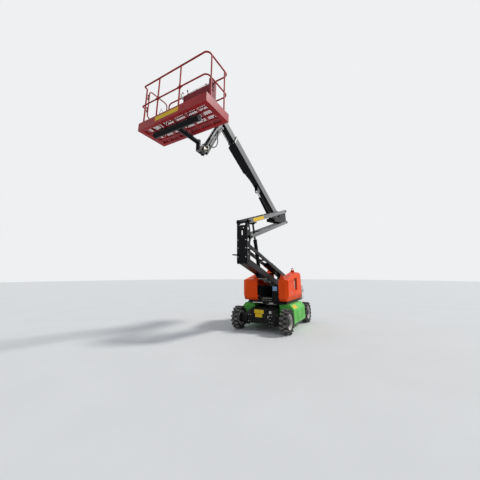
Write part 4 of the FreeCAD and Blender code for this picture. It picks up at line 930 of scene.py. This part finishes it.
maker = Maker(upper_axes)
for s in (0.34, 1.00, 1.60, 2.20, 2.36):
    maker.block((s, -0.2065, BAR_TOP - 0.001), (s + 0.028, -0.1655, BAR_TOP + 0.020))
maker.done("upper_arm_clamps", "upper_arm", "zinc", bevel=0.001)

# %% [markdown]
# The main boom has bolts for its wear pads round the collar, and a pale band on its left. On its
# right side lies the open tray of the energy chain: a row of links, and a straight tube that
# pulls the chain as the boom grows. Hoses leave the tray and run back along the boom.

# %% Boom details
COLLAR_AT = 3.598
BAND_REAR, BAND_FRONT = 3.570, 3.624
maker = Maker(boom_axes)
for y in (-0.06, 0.06):
    for n, way in ((0.132, 1), (-0.132, -1)):
        maker.bolt((COLLAR_AT, y, n), (0, 0, way), 0.009)
for n in (-0.075, 0.075):
    for y, way in ((0.112, 1), (-0.112, -1)):
        maker.bolt((COLLAR_AT, y, n), (0, way, 0), 0.009)
maker.done("boom_collar_bolts", "boom", "zinc")

maker = Maker(boom_axes)
maker.block((BAND_REAR, 0.1125, -0.134), (BAND_FRONT, 0.1165, 0.134))
maker.block((BAND_REAR, -0.119, 0.132), (BAND_FRONT, 0.1165, 0.136))
maker.done("boom_collar_band", "boom", "white_plate", bevel=0.001)

CHAIN_START, CHAIN_PITCH, CHAIN_LINKS = 2.49, 0.042, 22
maker = Maker(boom_axes)
for i in range(CHAIN_LINKS):
    s = CHAIN_START + i * CHAIN_PITCH
    for y in (-0.182, -0.118):
        maker.block((s, y - 0.003, -0.086), (s + 0.036, y + 0.003, -0.048))
    maker.block((s + 0.010, -0.182, -0.086), (s + 0.026, -0.118, -0.081))
    maker.block((s + 0.010, -0.182, -0.053), (s + 0.026, -0.118, -0.048))
maker.done("chain_links", "boom", "hose", bevel=0.001, smooth=False)

BOOM_SIDE = -0.115
TRAY_HOSES = [
    # left of the boom's line, above it, radius
    (-0.122, -0.074, 0.010), (-0.140, -0.066, 0.008), (-0.156, -0.074, 0.010), (-0.174, -0.067, 0.008),
]
maker = Maker(boom_axes)
for y, n, radius in TRAY_HOSES:
    near = BOOM_SIDE - radius
    maker.tube([(3.40, y, n), (2.90, y, n), (2.44, y, n), (2.34, y + 0.004, n + 0.004),
                (2.00, near, n + 0.02), (1.40, near, n + 0.02), (0.70, near, n + 0.03),
                (0.45, near + 0.001, n + 0.04)], radius, 10)
maker.done("boom_hoses", "boom", "hose")

maker = Maker(boom_axes)
for s in (0.60, 1.10, 1.60, 2.05):
    maker.block((s, -0.142, -0.075), (s + 0.030, -0.098, -0.010))
maker.done("boom_hose_clamps", "boom", "zinc", bevel=0.001)

maker = Maker(boom_axes)
maker.rod((3.05, -0.150, -0.015), (4.10, -0.150, -0.015), 0.014, 16)
maker.block((4.06, -0.168, -0.034), (4.11, -0.078, 0.004))
maker.done("chain_pull_tube", "inner_boom", "machined_steel", bevel=0.001)

# %% [markdown]
# Where the platform turns there is a knot of hydraulics: two small manifolds, fittings that
# catch the light, and short stiff hoses that arch from one to the other. Thin lines run along
# the jib arm.

# %% Fittings at the jib head
head = Matrix.Translation(pin("jib_head_level"))
turn_x = pin("platform_turn").x - pin("jib_head_level").x
maker = Maker(head)
maker.block((0.060, 0.058, -0.150), (0.150, 0.104, -0.070))
maker.block((0.075, -0.100, -0.140), (0.145, -0.058, -0.080))
for x in (0.075, 0.105, 0.135):
    maker.rod((x, 0.080, -0.072), (x, 0.080, -0.048), 0.009, 6)
    maker.rod((x, 0.102, -0.120), (x, 0.122, -0.120), 0.009, 6)
for x in (0.090, 0.125):
    maker.rod((x, -0.080, -0.082), (x, -0.080, -0.058), 0.009, 6)
maker.rod((turn_x, 0.048, -0.10), (turn_x, 0.072, -0.10), 0.010, 6)
maker.rod((turn_x, 0.048, -0.16), (turn_x, 0.072, -0.16), 0.010, 6)
maker.done("jib_head_fittings", "jib_head", "zinc", bevel=0.001)

maker = Maker(head)
for x, height, radius in ((0.075, 0.045, 0.007), (0.105, 0.022, 0.006), (0.135, 0.004, 0.006)):
    maker.tube([(x, 0.080, -0.052), (x, 0.080, -0.030 + height), (x + 0.020, 0.086, -0.010 + height),
                (x + 0.050, 0.090, -0.018 + height), (0.215, 0.086, -0.060),
                (turn_x - 0.004, 0.074, -0.10 - 0.02 * height)], radius, 8)
for x, out in ((0.075, 0.160), (0.105, 0.150)):
    maker.tube([(x, 0.120, -0.120), (x, out, -0.124), (x + 0.020, out + 0.010, -0.160),
                (x + 0.060, out - 0.010, -0.178), (turn_x - 0.005, 0.074, -0.160)], 0.006, 8)
for x in (0.090, 0.125):
    maker.tube([(x, -0.080, -0.060), (x, -0.082, -0.020), (x - 0.030, -0.086, 0.012),
                (x - 0.075, -0.090, 0.004), (x - 0.095, -0.094, -0.030)], 0.006, 8)
maker.done("jib_head_hoses", "jib_head", "hose")

maker = Maker(jib_axes)
for s in (0.30, 0.72):
    maker.tube([(s, 0.094, -0.004), (s + 0.10, 0.098, 0.004), (s + 0.32, 0.098, 0.004),
                (s + 0.36, 0.094, 0.0)], 0.006, 8)
maker.done("jib_arm_lines", "jib", "hose")

# %% [markdown]
# The platform's floor is expanded metal, so the sky shows through from below. Thin slanted
# strands in two directions make its diamonds, clipped to the floor's rectangle.

# %% Mesh floor
FLOOR_LOW, FLOOR_HIGH, FLOOR_EDGE = 0.0405, 0.0435, 0.006
MESH_PITCH = 0.024
MESH_STRAND = 0.0075
STRAND_DEPTH, STRAND_STEP = 0.0022, 0.0008
MESH_SLANT = math.radians(30)
floor_x, floor_y = HALF_LENGTH - 0.041, HALF_WIDTH - 0.041


def clipped(centre, way, half_x, half_y):
    """The two ends of a line inside a rectangle, or nothing."""
    low, high = -10.0, 10.0
    for start, step, half in ((centre[0], way[0], half_x), (centre[1], way[1], half_y)):
        ends = sorted(((-half - start) / step, (half - start) / step))
        low, high = max(low, ends[0]), min(high, ends[1])
    return (low, high) if high - low > 0.02 else None


maker = Maker(platform)
strands = 0
for sign in (-1, 1):
    way = (sign * math.sin(MESH_SLANT), math.cos(MESH_SLANT))
    square = (way[1], -way[0])
    count = int((floor_x + floor_y) / MESH_PITCH)
    for i in range(-count, count + 1):
        centre = (square[0] * i * MESH_PITCH, square[1] * i * MESH_PITCH)
        ends = clipped(centre, way, floor_x, floor_y)
        if ends is None:
            continue
        strands += 1
        a, b = (Vector((centre[0] + way[0] * t, centre[1] + way[1] * t, 0)) for t in ends)
        side = Vector((square[0], square[1], 0)) * MESH_STRAND / 2
        base = Vector((0, 0, FLOOR_LOW if sign > 0 else FLOOR_LOW + STRAND_STEP))
        corners = [a - side + base, b - side + base, b + side + base, a + side + base]
        maker.sheet(corners, (0, 0, STRAND_DEPTH))
inner_x, inner_y = floor_x - FLOOR_EDGE, floor_y - FLOOR_EDGE
for x0, x1, y0, y1 in ((-floor_x, floor_x, -floor_y, -inner_y), (-floor_x, floor_x, inner_y, floor_y),
                       (-floor_x, -inner_x, -floor_y, floor_y), (inner_x, floor_x, -floor_y, floor_y)):
    maker.block((x0, y0, FLOOR_LOW - 0.0005), (x1, y1, FLOOR_HIGH + 0.0005))
mesh_floor = maker.done("mesh_floor", "platform", "floor_mesh", smooth=False)
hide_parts("platform_floor")
print("strands", strands)

# %% [markdown]
# The platform has a blank yellow plate on its toe board, a small white gusset, clamps where the
# middle rail crosses its front posts, black hinge caps and a latch on the gate, and grey rings
# round a hole at the ends of the tube below the floor.

# %% Platform details
maker = Maker(platform)
maker.block((HALF_LENGTH - 0.001, -0.400, 0.058), (HALF_LENGTH + 0.002, 0.240, 0.150))
maker.done("toe_board_plate", "platform", "yellow_plate", bevel=0.001)

GUSSET = [((-0.30, 0.184), (-0.245, 0.300)), ((-0.245, 0.300), (-0.19, 0.184)),
          ((-0.19, 0.186), (-0.30, 0.186))]
gusset_x = HALF_LENGTH - 0.008
maker = Maker(platform)
for a, b in GUSSET:
    maker.rod((gusset_x, *a), (gusset_x, *b), 0.0065, 8)
maker.done("front_gusset", "platform", "white_plate")

RAIL_LINE = HALF_LENGTH - 0.021
MIDDLE_RAIL = 0.620
maker = Maker(platform)
for y in (-0.400, 0.216):
    maker.rod((RAIL_LINE, y - 0.055, MIDDLE_RAIL), (RAIL_LINE, y + 0.055, MIDDLE_RAIL), 0.020, 20)
    maker.rod((RAIL_LINE, y, MIDDLE_RAIL - 0.045), (RAIL_LINE, y, MIDDLE_RAIL + 0.045), 0.021, 20)
    maker.bolt((RAIL_LINE - 0.019, y + 0.035, MIDDLE_RAIL), (-1, 0, 0), 0.006)
maker.done("rail_clamps", "platform", "red_paint", bevel=0.002)

gate_pin = pin("gate_swing")
pin_x = gate_pin.x - platform.translation.x
maker = Maker(platform)
for z in (0.600, 0.930):
    maker.rod((pin_x, gate_pin.y, z + 0.050), (pin_x, gate_pin.y, z + 0.078), 0.017, 16)
    maker.rod((pin_x, gate_pin.y, z - 0.040), (pin_x, gate_pin.y, z - 0.013), 0.016, 16)
maker.done("gate_hinge_caps", "platform", "hose", bevel=0.001)

maker = Maker(platform)
latch_x = -HALF_LENGTH + 0.060
maker.block((latch_x - 0.020, gate_pin.y - 0.020, 0.74), (latch_x + 0.028, gate_pin.y - 0.013, 0.80))
maker.rod((latch_x, gate_pin.y - 0.016, 0.77), (latch_x, gate_pin.y - 0.036, 0.77), 0.008, 16)
maker.done("gate_latch", "gate", "zinc", bevel=0.001)

TUBE_ENDS = ((0.587, 1), (-0.617, -1))
tube_axes = platform @ Matrix.Translation((0.142, 0, -0.084))
maker = Maker(tube_axes)
for y, way in TUBE_ENDS:
    maker.ring((0, y + way * 0.001, 0), (0, 1, 0), 0.047, 0.006, 40)
    maker.ring((0, y + way * 0.001, 0), (0, 1, 0), 0.013, 0.005, 24)
maker.done("tube_end_rings", "platform", "machined_steel")

# Each hole is a thin dark disc: painted shade inside the tube's end.
maker = Maker(tube_axes)
for y, way in TUBE_ENDS:
    maker.rod((0, y, 0), (0, y + way * 0.0015, 0), 0.012, 24)
maker.done("tube_end_hole_shade", "platform", "hose")

# %% [markdown]
# The console has levers with black knobs, a red stop button, switches, and a white switch box at
# its right end. A thin guard wire runs above it, and a cable hangs from it down to the floor.

# %% Console details
CONSOLE_REAR = Vector(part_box("console")[0]).x - platform.translation.x
CONSOLE_TOP = 1.018
SWITCHES = [0.02, 0.10, 0.18, 0.26, 0.34]
face_x, face_z = CONSOLE_REAR + 0.127, CONSOLE_TOP - 0.030
tilt = Vector((0.77, 0, 0.64))
maker = Maker(platform)
for y in SWITCHES:
    start = Vector((face_x, y, face_z))
    maker.rod(start, start + tilt * 0.006, 0.014, 16)
    maker.rod(start, start + tilt * 0.022, 0.005, 10)
maker.done("console_switches", "platform", "zinc")

maker = Maker(platform)
start = Vector((face_x, -0.08, face_z))
maker.rod(start, start + tilt * 0.010, 0.026, 24, 0.020)
maker.rod(start, start + Vector((0.02, 0, 0.07)), 0.008, 12)
maker.rod(start + Vector((0.018, 0, 0.060)), start + Vector((0.024, 0, 0.092)), 0.016, 16, 0.012)
lever = Vector((CONSOLE_REAR + 0.060, 0.115, CONSOLE_TOP))
maker.rod(lever, lever + Vector((0, 0, 0.012)), 0.024, 24, 0.018)
maker.rod(lever, lever + Vector((0.004, 0, 0.050)), 0.007, 12)
maker.rod(lever + Vector((0.003, 0, 0.044)), lever + Vector((0.005, 0, 0.072)), 0.015, 16, 0.012)
maker.rod((CONSOLE_REAR + 0.165, -0.205, 1.010), (CONSOLE_REAR + 0.165, -0.205, 1.052), 0.014, 16, 0.018)
maker.done("console_levers", "platform", "hose", bevel=0.001)

maker = Maker(platform)
start = Vector((face_x, 0.44, face_z))
maker.rod(start + tilt * 0.004, start + tilt * 0.018, 0.010, 16)
maker.rod(start + tilt * 0.018, start + tilt * 0.030, 0.021, 24, 0.017)
maker.done("console_stop", "platform", "red_paint", bevel=0.001)

maker = Maker(platform)
maker.block((CONSOLE_REAR + 0.120, -0.240, 0.900), (CONSOLE_REAR + 0.200, -0.191, 1.010))
maker.block((CONSOLE_REAR + 0.130, -0.262, 0.930), (CONSOLE_REAR + 0.170, -0.238, 0.985))
maker.done("console_switch_box", "platform", "white_plate", bevel=0.004)

WIRE_TOP = 1.125
WIRE_ROUTE = [
    # left of the middle, height
    (-0.175, 1.010), (-0.175, WIRE_TOP - 0.02), (-0.155, WIRE_TOP), (0.20, WIRE_TOP),
    (0.555, WIRE_TOP), (0.574, WIRE_TOP - 0.02), (0.574, 1.010),
]
maker = Maker(platform)
maker.tube([(CONSOLE_REAR + 0.030, y, z) for y, z in WIRE_ROUTE], 0.0045, 8)
maker.done("console_guard_wire", "platform", "zinc")

CABLE_ROUTE = [
    # ahead of the console's rear, height
    (0.030, 0.645), (0.028, 0.52), (0.020, 0.36), (0.016, 0.20), (0.020, 0.10), (0.020, 0.046),
]
maker = Maker(platform)
maker.tube([(CONSOLE_REAR + ahead, 0.30, z) for ahead, z in CABLE_ROUTE], 0.010, 10)
maker.done("console_cable", "platform", "hose")
